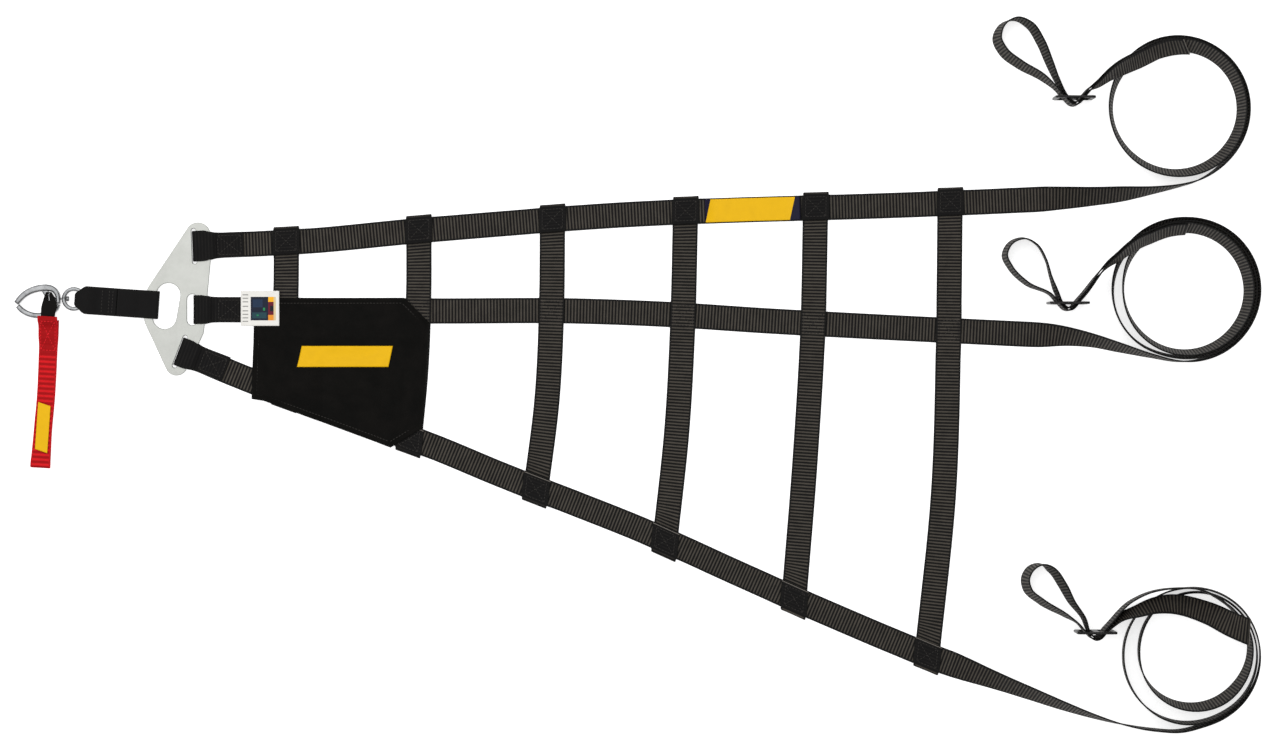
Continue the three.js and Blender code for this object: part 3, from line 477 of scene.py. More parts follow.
def new_piece(name, points, polygons, cloth=None):
    mesh = bpy.data.meshes.new(name)
    mesh.from_pydata((np.asarray(points) * MM).tolist(), [], polygons)
    mesh.validate()
    bm = bmesh.new()
    bm.from_mesh(mesh)
    bmesh.ops.recalc_face_normals(bm, faces=bm.faces)
    bm.to_mesh(mesh)
    bm.free()
    mesh.polygons.foreach_set("use_smooth", [True] * len(mesh.polygons))
    if cloth is not None:
        stored = mesh.attributes.new("cloth", "FLOAT_VECTOR", "POINT")
        stored.data.foreach_set("vector", np.asarray(cloth, dtype=np.float32).ravel())
    piece = bpy.data.objects.new(name, mesh)
    bpy.context.scene.collection.objects.link(piece)
    return piece


print("rings of points in the upper strap:", len(resample(long_runs["upper"], RIB / 4)[1]))

# %% [markdown]
# ## Colours and nodes
# Colours are written as the sRGB hex values that a colour picker shows, and one function turns
# them to the linear values that a shader works with. One more function adds a node, sets its
# values and links its inputs, and another starts a material from its shader's plain values.

# %% Colours, nodes and materials
def linear(hex_colour):
    value = [int(hex_colour[i:i + 2], 16) / 255 for i in (1, 3, 5)]
    return [v / 12.92 if v <= 0.04045 else ((v + 0.055) / 1.055) ** 2.4 for v in value] + [1.0]


def node(tree, kind, settings=None, **links):
    made = tree.nodes.new(kind)
    for key, value in (settings or {}).items():
        if key in made.bl_rna.properties:
            setattr(made, key, value)
        else:
            made.inputs[key].default_value = value
    for key, source in links.items():
        socket = made.inputs[int(key[1:])] if key[0] == "i" and key[1:].isdigit() else made.inputs[key]
        tree.links.new(source, socket)
    return made


def material(name, **settings):
    made = bpy.data.materials.new(name)
    made.use_nodes = True
    tree = made.node_tree
    shader = tree.nodes["Principled BSDF"]
    for key, value in settings.items():
        shader.inputs[key.replace("_", " ")].default_value = value
    return made, tree, shader


def feed(shader, socket, source):
    shader.id_data.links.new(source, shader.inputs[socket])


print("linear value of a middle grey:", round(linear("#808080")[0], 3))

# %% [markdown]
# The same few nodes come back in every material: sums, noise, a range mapped to another one,
# a colour laid over another one, and a bump. Each gets a function that returns its output.

# %% Nodes that come back
def maths(tree, operation, *values):
    made = tree.nodes.new("ShaderNodeMath")
    made.operation = operation
    for i, value in enumerate(values):
        if isinstance(value, (int, float)):
            made.inputs[i].default_value = value
        else:
            tree.links.new(value, made.inputs[i])
    return made.outputs[0]


def spread(tree, value, middle, times):
    """A value's distance from its middle, times a number."""
    return maths(tree, "MULTIPLY", maths(tree, "SUBTRACT", value, middle), times)


def noise(tree, where, scale, detail, roughness=0.5):
    settings = {"Scale": scale, "Detail": detail, "Roughness": roughness}
    return node(tree, "ShaderNodeTexNoise", settings, Vector=where).outputs[0]


def mapped(tree, value, start, end, low=0.0, high=1.0):
    settings = {"From Min": start, "From Max": end, "To Min": low, "To Max": high}
    return node(tree, "ShaderNodeMapRange", settings, Value=value).outputs[0]


def mixed(tree, factor, first, colour):
    """A colour laid over another one, as far as the factor says."""
    made = node(tree, "ShaderNodeMix", {"data_type": "RGBA"}, i0=factor)
    made.inputs[7].default_value = colour
    if isinstance(first, list):
        made.inputs[6].default_value = first
    else:
        tree.links.new(first, made.inputs[6])
    return made.outputs[2]


def bumped(tree, shader, height, strength, metres, **links):
    settings = {"Strength": strength, "Distance": metres}
    made = node(tree, "ShaderNodeBump", settings, Height=height, **links)
    feed(shader, "Normal", made.outputs[0])


def cloth_coords(tree):
    stored = node(tree, "ShaderNodeAttribute", {"attribute_name": "cloth"})
    apart = node(tree, "ShaderNodeSeparateXYZ", i0=stored.outputs["Vector"])
    return stored.outputs["Vector"], apart.outputs[0], apart.outputs[1], apart.outputs[2]


def ramp(tree, factor, *stops):
    made = node(tree, "ShaderNodeValToRGB", i0=factor)
    elements = made.color_ramp.elements
    for i, (at, colour) in enumerate(stops):
        element = elements[i] if i < 2 else elements.new(at)
        element.position = at
        element.color = linear(colour)
    return made.outputs[0]


# %% [markdown]
# ## Black polyester webbing
# Spun-dyed polyester yarn is never quite black. The colour is painted lighter on the crests of its ribs,
# a painted highlight, and near black in the grooves between them, painted shade, on top of the
# shading that the real ribs give. The edges are woven flat and look darker. Yarn is matt, so
# roughness is high and the specular level low.
# Where the strap was cut, its end was sealed with heat, which leaves a thin paler line.

# %% Webbing material
YARN = 0.9             # yarns this far apart show as small beads on each rib


# The crest colour carries a painted highlight on the ribs, the groove colour painted shade between them.
def webbing_material(name, crest="#433e37", shaded_groove="#080707", edge="#0b0a09", rib=RIB,
                     sealed="#6d6862", pressed=(0.0, 0.0)):
    """Ribs are pressed flat for so many mm at the strap's start and at its end."""
    made, tree, shader = material(name, Roughness=0.72, Specular_IOR_Level=0.18)
    vector, s, v, left = cloth_coords(tree)
    wave = maths(tree, "COSINE", maths(tree, "MULTIPLY", s, 2 * math.pi / rib))
    high = maths(tree, "MULTIPLY_ADD", wave, 0.5, 0.5)
    yarn = maths(tree, "ABSOLUTE", maths(tree, "SINE", maths(tree, "MULTIPLY", v, math.pi / YARN)))
    mottle = noise(tree, vector, 0.09, 4.0)
    fuzz = noise(tree, vector, 1.7, 3.0)
    lift = maths(tree, "ADD", high, spread(tree, fuzz, 0.5, 0.7))
    lift = maths(tree, "ADD", lift, spread(tree, mottle, 0.5, 0.5))
    begun = mapped(tree, s, pressed[0], pressed[0] + 3)
    ended = mapped(tree, left, pressed[1], pressed[1] + 3)
    clear = maths(tree, "MULTIPLY", begun, ended)
    lift = maths(tree, "MULTIPLY", lift, maths(tree, "MAXIMUM", clear, 0.35))
    # Painted highlight on the rib crests and painted shade in the grooves, mixed by the rib wave and
    # noise.
    ribbed = ramp(tree, lift, (0.3, shaded_groove), (1.0, crest))
    selvage = mapped(tree, maths(tree, "ABSOLUTE", v), 10.3, 11.3)
    woven = mixed(tree, selvage, ribbed, linear(edge))
    seal = mapped(tree, left, 0.35, 0.9, 1.0, 0.0)
    feed(shader, "Base Color", mixed(tree, seal, woven, linear(sealed)))
    feed(shader, "Roughness", mapped(tree, lift, 0.0, 1.0, 0.85, 0.6))
    beads = maths(tree, "MULTIPLY", high, yarn)
    height = maths(tree, "ADD", beads, maths(tree, "MULTIPLY", fuzz, 0.5))
    bumped(tree, shader, height, 0.5, 0.0002)
    return made


BLACK_WEBBING = webbing_material("black_polyester_webbing", pressed=(53, 0))
SEWN_WEBBING = webbing_material("black_polyester_webbing_sewn_ends", pressed=(24, 24))
TAB_WEBBING = webbing_material("black_seat_belt_webbing", "#1f1d1a", rib=1.1, pressed=(400, 0),
                               sealed="#161514")
print("webbing materials:", BLACK_WEBBING.name, SEWN_WEBBING.name, TAB_WEBBING.name)

# %% [markdown]
# Now the straps themselves. Each is one long piece, so it stands for the two or three solids that
# the frame keeps apart.

# %% Make the straps
def dress(piece, look, slot, *nodes):
    piece.data.materials.clear()
    piece.data.materials.append(look)
    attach(piece, "root")
    if nodes:
        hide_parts(*nodes)
    return piece


SLANT = {"upper": -0.45, "middle": 0.0, "lower": 0.35}    # how obliquely each end was cut
for key, run in long_runs.items():
    piece = strap_mesh(f"{key}_webbing", run, slant=SLANT[key])
    dress(piece, BLACK_WEBBING, "webbing", f"{key}_strap", f"{key}_coil", f"{key}_loop")
    print(piece.name, len(piece.data.polygons), "faces")
for name, run in cross_runs.items():
    piece = strap_mesh(f"{name}_webbing", run)
    dress(piece, SEWN_WEBBING, "webbing", name)

# %% [markdown]
# ## Tab
# The tab is a short strap in two layers: it is folded round the swivel eye at one end and round
# the plate's outer bar at the other, and sewn together between them.

# %% Tab
TAB_LOW, TAB_MID = THICK / 2, THICK / 2 + LAYER


def round_fold(u, r, angles, halves):
    return [[u + r * c, TAB_LOW + r + r * s, h] for (c, s), h in zip(map(circle, angles), halves)]


TAB = [[42, TAB_MID, 14], [27, TAB_MID, 14], [17, 5.6, 14], [12.4, 6.65, 14], [8.5, 6.65, 12.5],
       [5.5, 6.65, 9.8],
       *round_fold(3.7, 2.95, range(90, 271, 30), (8.6, 7.2, 5.6, 5, 5.6, 7.2, 8.6)),
       [5.5, TAB_LOW, 9.8], [8.5, TAB_LOW, 12.5], [12.4, TAB_LOW, 14], [40, TAB_LOW, 14],
       *round_fold(81.4, 2.65, range(-90, 91, 30), [14] * 7), [73, 6.05, 14], [66, 5.4, 14],
       [56, TAB_MID, 14], [43, TAB_MID, 14]]
tab_way = vec(*circle(-4))
tab_run = bent(vec(-564.5, 72.6), tab_way, vec(-tab_way[1], tab_way[0]), TAB)
tab = dress(strap_mesh("tab_webbing", tab_run, depth=0.05), TAB_WEBBING, "webbing", "tab")

# %% [markdown]
# ## Lashing and ribbon
# The lashing is soft black tape, tied from the ribbon over the shackle's gate to its trigger. Its
# route is a table of x, y, height and half width.

# %% Route of the lashing
LASHING = [[-590.2, 36, 3, 6.8], [-590.2, 45, 3, 6.8], [-590.2, 49, 5.4, 6.8], [-590.2, 52.6, 8.6, 6.9],
           [-590, 55.5, 9.1, 7], [-589.5, 60, 9.3, 7.3], [-588.8, 64, 9.2, 7.8], [-588.6, 69, 8.8, 6.9],
           [-588.6, 75, 8.7, 5], [-589.1, 79.7, 8.6, 2.6]]
lashing_run = routed(LASHING, vec(1, 0))
print("lashing, length in mm:", round(float(spans(lashing_run.p).sum())))

# %% [markdown]
# A pull on the red ribbon opens the shackle. The ribbon is folded in two at its far end, and its
# open ends are sewn together over the lashing. Its ribs are wider than the straps'.

# %% Ribbon
RIBBON_WAY = vec(0.998, -0.06)
RIBBON_TURN, RIBBON_THICK = 0.9, 1.2
RIBBON = [[-590.2, 52.2, 0.6, 9.9], [-590.6, 36, 0.6, 9.8], [-591, 22, 0.6, 9.2],
          [-593.5, -28, 0.6, 9], [-596, -55, 0.6, 9], [-598, -82, 0.6, 9.6],
          *[[-598.9, -94.5 - RIBBON_TURN * c, 0.6 + RIBBON_TURN * (1 + s), 10]
            for c, s in map(circle, range(-90, 91, 30))],
          [-598, -82, 2.4, 9.6], [-596, -55, 2.4, 9], [-593.5, -28, 2.4, 9], [-591, 22, 2.4, 9.2],
          [-590.8, 26, 2.6, 9.3], [-590.6, 36, 5.2, 9.6], [-590.4, 43.5, 5.4, 9.7],
          [-590.3, 47.5, 7.2, 9.8], [-590.2, 51.4, 10.7, 9.9], [-590.1, 55.5, 11.4, 9.9]]
RIBBON_RIB = 4.9
# The ribbon's lighter crests and darker grooves are also a painted highlight and painted shade.
RED_WEBBING = webbing_material("red_nylon_ribbon", "#cf0712", "#970308", "#b00510", rib=RIBBON_RIB,
                              sealed="#9c060e", pressed=(0, 38))
ribbon_run = routed(RIBBON, RIBBON_WAY)
ribbon = strap_mesh("pull_ribbon", ribbon_run, thick=RIBBON_THICK, rib=RIBBON_RIB, depth=0.16)
dress(ribbon, RED_WEBBING, "red_ribbon", "ribbon")

# %% [markdown]
# The lashing is tape in two layers, loosely woven, so it gets low, close ribs. A slit in it shows
# the polished trigger beneath. The slit is cut with a Boolean modifier, which is then applied.

# %% Lashing piece
def cloth_material(name, light, dark, thread):
    """A plain weave, whose threads lie so many mm apart."""
    made, tree, shader = material(name, Roughness=0.85, Specular_IOR_Level=0.1)
    vector, s, v, _ = cloth_coords(tree)
    warp = maths(tree, "SINE", maths(tree, "MULTIPLY", s, 2 * math.pi / thread))
    weft = maths(tree, "SINE", maths(tree, "MULTIPLY", v, 2 * math.pi / thread))
    weave = maths(tree, "MULTIPLY", warp, weft)
    worn = noise(tree, vector, 0.05, 5.0, 0.6)
    fuzz = noise(tree, vector, 1.1, 2.0)
    mix = maths(tree, "ADD", maths(tree, "MULTIPLY", weave, 0.25), worn)
    mix = maths(tree, "ADD", mix, spread(tree, fuzz, 0.5, 0.4))
    feed(shader, "Base Color", ramp(tree, mix, (0.25, dark), (0.85, light)))
    bumped(tree, shader, maths(tree, "ADD", weave, fuzz), 0.4, 0.0002)
    return made


BLACK_TAPE = cloth_material("black_cotton_tape", "#171514", "#070606", thread=0.8)
BLACK_CLOTH = cloth_material("black_nylon_cloth", "#100e0c", "#040403", thread=0.7)


def cut_through(piece, low, high):
    """Cuts a box, given as its low and high corners in mm, out of a piece."""
    bpy.ops.mesh.primitive_cube_add(size=1, location=[(a + b) / 2 * MM for a, b in zip(low, high)])
    cutter = bpy.context.object
    cutter.scale = [(b - a) * MM for a, b in zip(low, high)]
    bpy.context.view_layer.update()
    cut = piece.modifiers.new("slit", "BOOLEAN")
    cut.operation, cut.object, cut.solver = "DIFFERENCE", cutter, "EXACT"
    bpy.context.view_layer.objects.active = piece
    bpy.ops.object.modifier_apply(modifier=cut.name)
    bpy.data.objects.remove(cutter)
    print(piece.name, "faces after the cut:", len(piece.data.polygons))


lashing = strap_mesh("lashing_tape", lashing_run, thick=2.4, rib=1.6, depth=0.08, selvage=0.4)
cut_through(lashing, (-590.5, 71.2, 5), (-588.1, 78.8, 13))
dress(lashing, BLACK_TAPE, "black_cloth", "lashing")

# %% [markdown]
# ## Pad
# The pad is two layers of black nylon sewn over the straps at the narrow end. It lies over them
# like a loose cover: it rises over each strap, higher where straps cross, and sags a little in
# between. A height is worked out for every point, from how far it is from each strap below.

# %% Pad heights
PAD_BASE, PAD_CLEAR, PAD_RAMP, PAD_THICK = 0.3, 9, 25, 2.0
LOWER_SLOPE = 20       # degrees that the lower strap falls below the pad
PAD_LOWER = [[-387.5, -27], [-375, -28.8], [-248.5, -75.5], [-216.5, -56]]
PAD_UPPER = [[-384.5, 74], [-235, 74.2], [-210, 49.5]]


def pad_height(x, y):
    near = lambda away: lifted(away, HALF + PAD_CLEAR, PAD_RAMP)
    raised = lambda away: lifted(away, CROSS_FLAT + PAD_CLEAR)
    off_middle = y - y_at(LONG["middle"]["flat"], x)
    off_lower = (y - y_at(LONG["lower"]["flat"], x)) * circle(LOWER_SLOPE)[0]
    over = lambda level, share: (level - PAD_BASE) * share
    high = over(LAYER, near(off_middle))
    for name in ("cross_strap_1", "cross_strap_2"):
        _, *xs = CROSSINGS[name]
        off_cross = x - np.interp(y, [-150, -15, 60], xs[::-1])
        for layer in (over(LAYER * (1 + raised(off_middle)), near(off_cross)),
                      over(LAYER * (1 + raised(off_cross)), near(off_lower)),
                      over(3 * LAYER, near(off_lower) * near(off_cross))):
            high = np.maximum(high, layer)
    return PAD_BASE + high


print("pad's height over the middle strap, mm:", round(float(pad_height(-300.0, 61.0)), 2))

# %% [markdown]
# A sheet is a grid of points between two chains of corners, once for its underside and once for
# its top, with its rim rounded. The pad's edge is turned in and stitched, which leaves a low seam
# line 4 mm inside the edge and a soft hem outside it.

# %% Pad mesh
def stepped(chain, counts):
    out = [chain[0]]
    for a, b, count in zip(chain, chain[1:], counts):
        out += [[p + (q - p) * k / count for p, q in zip(a, b)] for k in range(1, count + 1)]
    return np.array(out, float)


def rim_distance(grid):
    """Distance to the nearest edge, counted on the grid."""
    rows, cols, _ = grid.shape
    inwards = lambda n: np.minimum(np.arange(n), np.arange(n)[::-1])
    return np.minimum(inwards(rows)[:, None] * np.linalg.norm(grid[1, 0] - grid[0, 0]),
                      inwards(cols)[None, :] * np.linalg.norm(grid[0, 1] - grid[0, 0]))


def sheet_mesh(name, lower, upper, across, height, thick, puff=None):
    """A closed sheet between two chains of points, with rounded edges."""
    f = np.linspace(0, 1, across + 1)[None, :, None]
    grid = lower[:, None, :] + (upper - lower)[:, None, :] * f
    x, y = grid[..., 0], grid[..., 1]
    rim = rim_distance(grid)
    rounded = np.sqrt(np.clip(1 - (1 - np.clip(rim / thick, 0, 1)) ** 2, 0, 1))
    middle, swell = height(x, y) + thick / 2, thick / 2 * (0.15 + 0.85 * rounded)
    extra = puff(x, y, rim) if puff else 0.0
    points = np.concatenate([np.stack([x, y, z], 2).reshape(-1, 3)
                             for z in (middle - swell, middle + swell + extra)])
    base = x.size
    index = np.arange(base).reshape(x.shape)
    a, b, c, d = index[:-1, :-1], index[1:, :-1], index[1:, 1:], index[:-1, 1:]
    edge = np.concatenate([index[:, 0], index[-1, 1:], index[-2::-1, -1], index[0, -2:0:-1]])
    after = np.roll(edge, -1)
    polygons = np.concatenate([np.stack([a, d, c, b], 2).reshape(-1, 4),
                               np.stack([a, b, c, d], 2).reshape(-1, 4) + base,
                               np.stack([edge, after, after + base, edge + base], 1)]).tolist()
    cloth = np.stack([x, y, rim], 2).reshape(-1, 3)
    return new_piece(name, points, polygons, np.concatenate([cloth, cloth]))


def pad_puff(x, y, rim):
    """The seam line, the soft hem outside it, and shallow waves in the cloth."""
    seam = -0.45 * np.exp(-((rim - 4.2) / 0.8) ** 2)
    hem = 0.25 * np.exp(-((rim - 1.8) / 1.4) ** 2)
    slack = np.clip((rim - 4) / 12, 0, 1)
    waves = (0.28 * np.sin(x / 19 + np.sin(y / 23) * 1.3) * np.sin(y / 17 + 0.7)
             + 0.16 * np.sin((x + 2 * y) / 9.5 + 1.1 * np.sin(x / 31)))
    return seam + hem + slack * (0.35 + waves)


pad = sheet_mesh("pad_cloth", stepped(PAD_LOWER, [12, 138, 36]), stepped(PAD_UPPER, [150, 36]), 150,
                 pad_height, PAD_THICK, pad_puff)
dress(pad, BLACK_CLOTH, "black_cloth", "pad")

# %% [markdown]
# ## Labels
# Labels like these are printed on a smooth woven polyester. They are bare here but for plain
# blocks of colour. The print is part of the material: where along and across the label a point
# lies decides its colour.

# %% Label materials
def label_material(name, base, rough=0.45, bands=(), slant=0.0):
    """Bands are a colour and the ranges, in mm, along and across the label that it fills."""
    made, tree, shader = material(name, Roughness=rough, Specular_IOR_Level=0.12)
    vector, s, v, _ = cloth_coords(tree)
    s = maths(tree, "SUBTRACT", s, maths(tree, "MULTIPLY", v, slant))
    within = lambda place, low, high: maths(tree, "COMPARE", place, (low + high) / 2, (high - low) / 2)
    soiled = [c * 0.72 for c in linear(base)[:3]] + [1]
    colour = mixed(tree, spread(tree, noise(tree, vector, 0.12, 4.0), 0.35, 0.5), linear(base), soiled)
    for shade, along, across in bands:
        inside = maths(tree, "MULTIPLY", within(s, *along), within(v, *across))
        colour = mixed(tree, inside, colour, linear(shade))
    feed(shader, "Base Color", colour)
    bumped(tree, shader, noise(tree, vector, 2.2, 2.0), 0.25, 0.0001)
    return made


def label_strip(name, run, half):
    return strap_mesh(name, run, thick=LABEL_THICK, rib=4, depth=0.0, selvage=0.3, across=half)


LABEL_YELLOW, LABEL_NAVY, LABEL_WHITE = "#dcab02", "#0f0b26", "#dcdad5"
LABEL_THICK = 1.0
YELLOW_LABEL = label_material("yellow_polyester_label", LABEL_YELLOW)
print("label material:", YELLOW_LABEL.name)

# %% [markdown]
# The pad's label is a sheet like the pad, laid on the same heights. Its ends are cut slanted.

# %% Label on the pad
PAD_LABEL_X, PAD_LABEL_Y, PAD_LABEL_GAP, PAD_LABEL_SLANT = (-339.5, -248.5), (5.0, 26.0), 0.6, 2.2
rows = [stepped([[x + shift, y] for x in PAD_LABEL_X], [90])
        for y, shift in zip(PAD_LABEL_Y, (-PAD_LABEL_SLANT, PAD_LABEL_SLANT))]
pad_label = sheet_mesh("pad_label_print", rows[0], rows[1], 22,
                       lambda x, y: pad_height(x, y) + PAD_THICK + PAD_LABEL_GAP, LABEL_THICK)
dress(pad_label, YELLOW_LABEL, "yellow_label", "pad_label")

# %% [markdown]
# The strap's label follows the upper strap, one layer above it, and has slanted dark ends.

# %% Label along the upper strap
LABELLED, LABEL_HALF = (65.5, 160.5), 11.5
upper = long_runs["upper"]
on_strap = [i for i in range(len(upper)) if LABELLED[0] < upper.p[i, 0] < LABELLED[1]]
under = upper.part(on_strap[0], on_strap[-1] + 1)
strap_label_run = Stations(under.p + UP * ((THICK + LABEL_THICK) / 2 + GAP), under.w,
                           np.full(len(under), LABEL_HALF))
STRAP_LABEL = label_material("yellow_label_with_dark_ends", LABEL_YELLOW, slant=0.25, bands=[
    (LABEL_NAVY, ends, (-13, 13)) for ends in ((-9, 2.9), (87.5, 105))])
strap_label = label_strip("strap_label_print", strap_label_run, LABEL_HALF)
dress(strap_label, STRAP_LABEL, "yellow_label", "strap_label")

# %% [markdown]
# The white label hangs over the pad's edge, so its route steps up from the strap to the pad. Plain
# colour blocks stand for a shiny foil square, two small green spots on it are painted glints, and
# grey dashes stand for its lines of small print.

# %% Label over the pad's edge
FOIL_HALF = 17.5
foil_run = bent(vec(-398, 63.5), vec(1, 0), vec(0, 1),
                [[u, z, FOIL_HALF] for u, z in ((0, 5.1), (8, 5.5), (16, 6.25), (22, 6.75), (38.5, 6.8))])
FOIL_SQUARE, FOIL_STRIP, FOIL_MARKS = (10, 27.6), (27.6, 33), (1.8, 7.5)
MARK_ROWS = (-13.5, -10, -6.5, -3, 1.5, 6, 9.5, 13)
FOIL_LABEL = label_material("white_label_with_foil_square", LABEL_WHITE, rough=0.35, bands=[
    ("#10182a", FOIL_SQUARE, (-12, 11.5)), ("#1d3d45", (11.5, 26), (-10, -4)),
    # The two green spots are painted glints on the foil.
    ("#1a2c44", (12, 22), (1, 9)), ("#1f7f4c", (22.5, 24.5), (-2.2, 0.6)),
    ("#1f7f4c", (16, 18), (-7.5, -6.2)), ("#e9a81e", FOIL_STRIP, (6.5, 11.5)),
    ("#5e0c22", FOIL_STRIP, (-6.5, 6.5)), ("#d98a2a", FOIL_STRIP, (-12, -6.5)),
    ("#10131c", (29.5, 33), (-3, 2.5)), ("#cbb88e", (33, 35.2), (-12, 11.5)),
    *[("#8d8c89", FOIL_MARKS, (row, row + 1.1)) for row in MARK_ROWS]])
foil_label = label_strip("foil_label_print", foil_run, FOIL_HALF)
dress(foil_label, FOIL_LABEL, "white_label", "foil_label")

# %% [markdown]
# The ribbon's label lies along the ribbon's top. Its width runs askew, so its ends come out slanted.

# %% Label on the ribbon
RIBBON_LABEL_HALF, LABEL_WAY = 6.5, vec(0.945, -0.327)
ribbon_label_run = routed([[x, y, 3.9, RIBBON_LABEL_HALF]
                           for x, y in ((-594.4, -32), (-596, -55), (-597.7, -79))], LABEL_WAY)
ribbon_label = label_strip("ribbon_label_print", ribbon_label_run, RIBBON_LABEL_HALF)
dress(ribbon_label, YELLOW_LABEL, "yellow_label", "ribbon_label")

# %% [markdown]
# ## Stitching
# The joints of a safety net are sewn in thick bonded nylon thread. A stitch is a short rounded dash
# of thread, thinner at its ends. All the stitches of a joint are one mesh.

# %% Stitch mesh
STITCH, STITCH_GAP, THREAD_R = 2.3, 1.0, 0.34
THREAD_RISE = 0.05     # of a stitch's middle above the cloth
STITCH_SIDES = 6
STITCH_PROFILE = [(0.0, 0.35), (0.14, 0.85), (0.5, 1.0), (0.86, 0.85), (1.0, 0.35)]


def thread_material(name, colour, shine):
    made, _, shader = material(name, Roughness=0.55, Specular_IOR_Level=shine)
    shader.inputs["Base Color"].default_value = linear(colour)
    return made


THREAD = thread_material("black_nylon_thread", "#2b2826", 0.2)
RED_THREAD = thread_material("red_nylon_thread", "#d81c26", 0.15)


def dashes(path):
    """Ends of the stitches along a line through points in space."""
    far = distances(path)
    at = lambda d: np.array([np.interp(d, far, path[:, k]) for k in range(3)])
    starts = np.arange(0.4, far[-1] - STITCH, STITCH + STITCH_GAP)
    return [(at(d), at(d + STITCH)) for d in starts]


def stitch_piece(name, pairs, look=THREAD):
    ring = [circle(a) for a in range(0, 360, 360 // STITCH_SIDES)]
    points, polygons = [], []
    for a, b in pairs:
        way = unit(b - a)
        side = unit(np.cross(way, UP) if abs(way[2]) < 0.95 else vec(1, 0))
        top = np.cross(side, way)
        base = len(points)
        for f, r in STITCH_PROFILE:
            centre = a + (b - a) * f
            points += [centre + (side * c * 1.15 + top * d * 0.8) * r * THREAD_R for c, d in ring]
        last = base + (len(STITCH_PROFILE) - 1) * STITCH_SIDES
        for start in range(base, last, STITCH_SIDES):
            for j in range(STITCH_SIDES):
                p, q = start + j, start + (j + 1) % STITCH_SIDES
                polygons.append([p, q, q + STITCH_SIDES, p + STITCH_SIDES])
        polygons.append([base + j for j in range(STITCH_SIDES)][::-1])
        polygons.append([last + j for j in range(STITCH_SIDES)])
    return dress(new_piece(name, points, polygons), look, "webbing")


print("one stitch and its gap, mm:", STITCH + STITCH_GAP)

# %% [markdown]
# Most joints are a box-X, a square of stitches with a cross in it. A stitch's place is given along
# and across the strap, like a point on a ruler laid on the webbing, and turned to the frame.

# %% The box-X
def on_run(run, spots, thick=THICK):
    """Points on a strap's upper face, from distances along and across it."""
    far, face = distances(run.p), faces(run)
    out = []
    for s, v in spots:
        take = lambda q: np.array([np.interp(s, far, q[:, k]) for k in range(3)])
        up = take(face)
        up = up if up[2] > 0 else -up
        out.append(take(run.p) + take(run.w) * v + unit(up) * (thick / 2 + THREAD_RISE))
    return np.array(out)


def box_x(run, s0, s1, half, thick=THICK):
    """Stitches of a square with a cross in it."""
    corners = [(s0, -half), (s1, -half), (s1, half), (s0, half), (s0, -half)]
    lines = list(zip(corners, corners[1:])) + [((s0, -half), (s1, half)), ((s0, half), (s1, -half))]
    pairs = []
    for (a0, b0), (a1, b1) in lines:
        spots = [(a0 + (a1 - a0) * f, b0 + (b1 - b0) * f) for f in np.linspace(0, 1, 12)]
        pairs += dashes(on_run(run, spots, thick))
    return pairs


print("stitches in a 20 mm box-X:", len(box_x(ribbon_run, 5, 25, 10)))

# %% [markdown]
# Each long strap has a box-X on its fold at the plate. A crossing strap has three: one on each
# folded end, and one where it passes over the middle strap. The tab has three plain rows.

# %% Stitches on every joint
for key, run in long_runs.items():
    stitch_piece(f"{key}_fold_stitches", box_x(run, 2.5, 26, 9.5))
for name, run in cross_runs.items():
    far = distances(run.p)
    pairs = box_x(run, 3, 22.5, 10.2) + box_x(run, far[-1] - 22.5, far[-1] - 3, 10.2)
    mid_y = y_at(LONG["middle"]["flat"], CROSSINGS[name][1])
    flat_part = slice(len(run) // 5, -len(run) // 5)
    mid_s = far[flat_part][np.argmin(np.abs(run.p[flat_part, 1] - mid_y))]
    stitch_piece(f"{name}_stitches", pairs + box_x(run, mid_s - 9.8, mid_s + 9.8, 9.6))
tab_pairs = []
for s in (4.0, 7.5, 14.5):
    tab_pairs += dashes(on_run(tab_run, [(s, v) for v in np.linspace(-11.5, 11.5, 12)]))
stitch_piece("tab_stitches", tab_pairs)
ribbon_end = float(spans(ribbon_run.p).sum())
red_pairs = box_x(ribbon_run, ribbon_end - 36, ribbon_end - 5, 7.2, RIBBON_THICK)
red = stitch_piece("ribbon_stitches", red_pairs, RED_THREAD)
print("stitches on the tab and the ribbon:", len(tab_pairs), len(red_pairs))

# %% [markdown]
# The pad's hem has one seam all round, drawn a little inside its outline.

# %% Hem stitches on the pad
SEAM_INSET = 5.4


def inset(corners, by):
    corners, out = np.array(corners, float), []
    for before, here, after in zip(np.roll(corners, 1, axis=0), corners, np.roll(corners, -1, axis=0)):
        a, b = unit(here - before), unit(after - here)
        na, nb = np.array([-a[1], a[0]]), np.array([-b[1], b[0]])
        out.append(here + by * (na + nb) / (1 + na.dot(nb)))
    return out


seam = inset([*PAD_LOWER, *PAD_UPPER[::-1]], SEAM_INSET)
hem_pairs = []
for a, b in zip(seam, seam[1:] + seam[:1]):
    line = a + (b - a) * np.linspace(0, 1, 60)[:, None]
    z = pad_height(line[:, 0], line[:, 1]) + PAD_THICK - 0.25
    hem_pairs += dashes(np.column_stack([line, z]))
hem = stitch_piece("pad_hem_stitches", hem_pairs)
print("hem stitches:", len(hem_pairs))

# %% [markdown]
# ## Metal parts
# The plate, the shackle's parts, the swivel and the slides keep their shape from the frame and get
# metal finishes. A stamped plate is blasted and plated, so it is a pale satin grey. The shackle is
# polished stainless steel, and the slides are steel with a black coat whose upper edges are painted
# pale: partly wear, partly a painted highlight.

# %% Metal materials
def metal(name, colours, rough, clouds):
    """A metal whose colour and roughness drift with a cloudy noise."""
    made, tree, shader = material(name, Metallic=1.0)
    where = node(tree, "ShaderNodeTexCoord").outputs["Object"]
    cloud = noise(tree, where, *clouds)
    feed(shader, "Base Color", ramp(tree, cloud, (0.3, colours[0]), (0.7, colours[1])))
    feed(shader, "Roughness", mapped(tree, cloud, 0.0, 1.0, *rough))
    return made, tree, shader, where, cloud


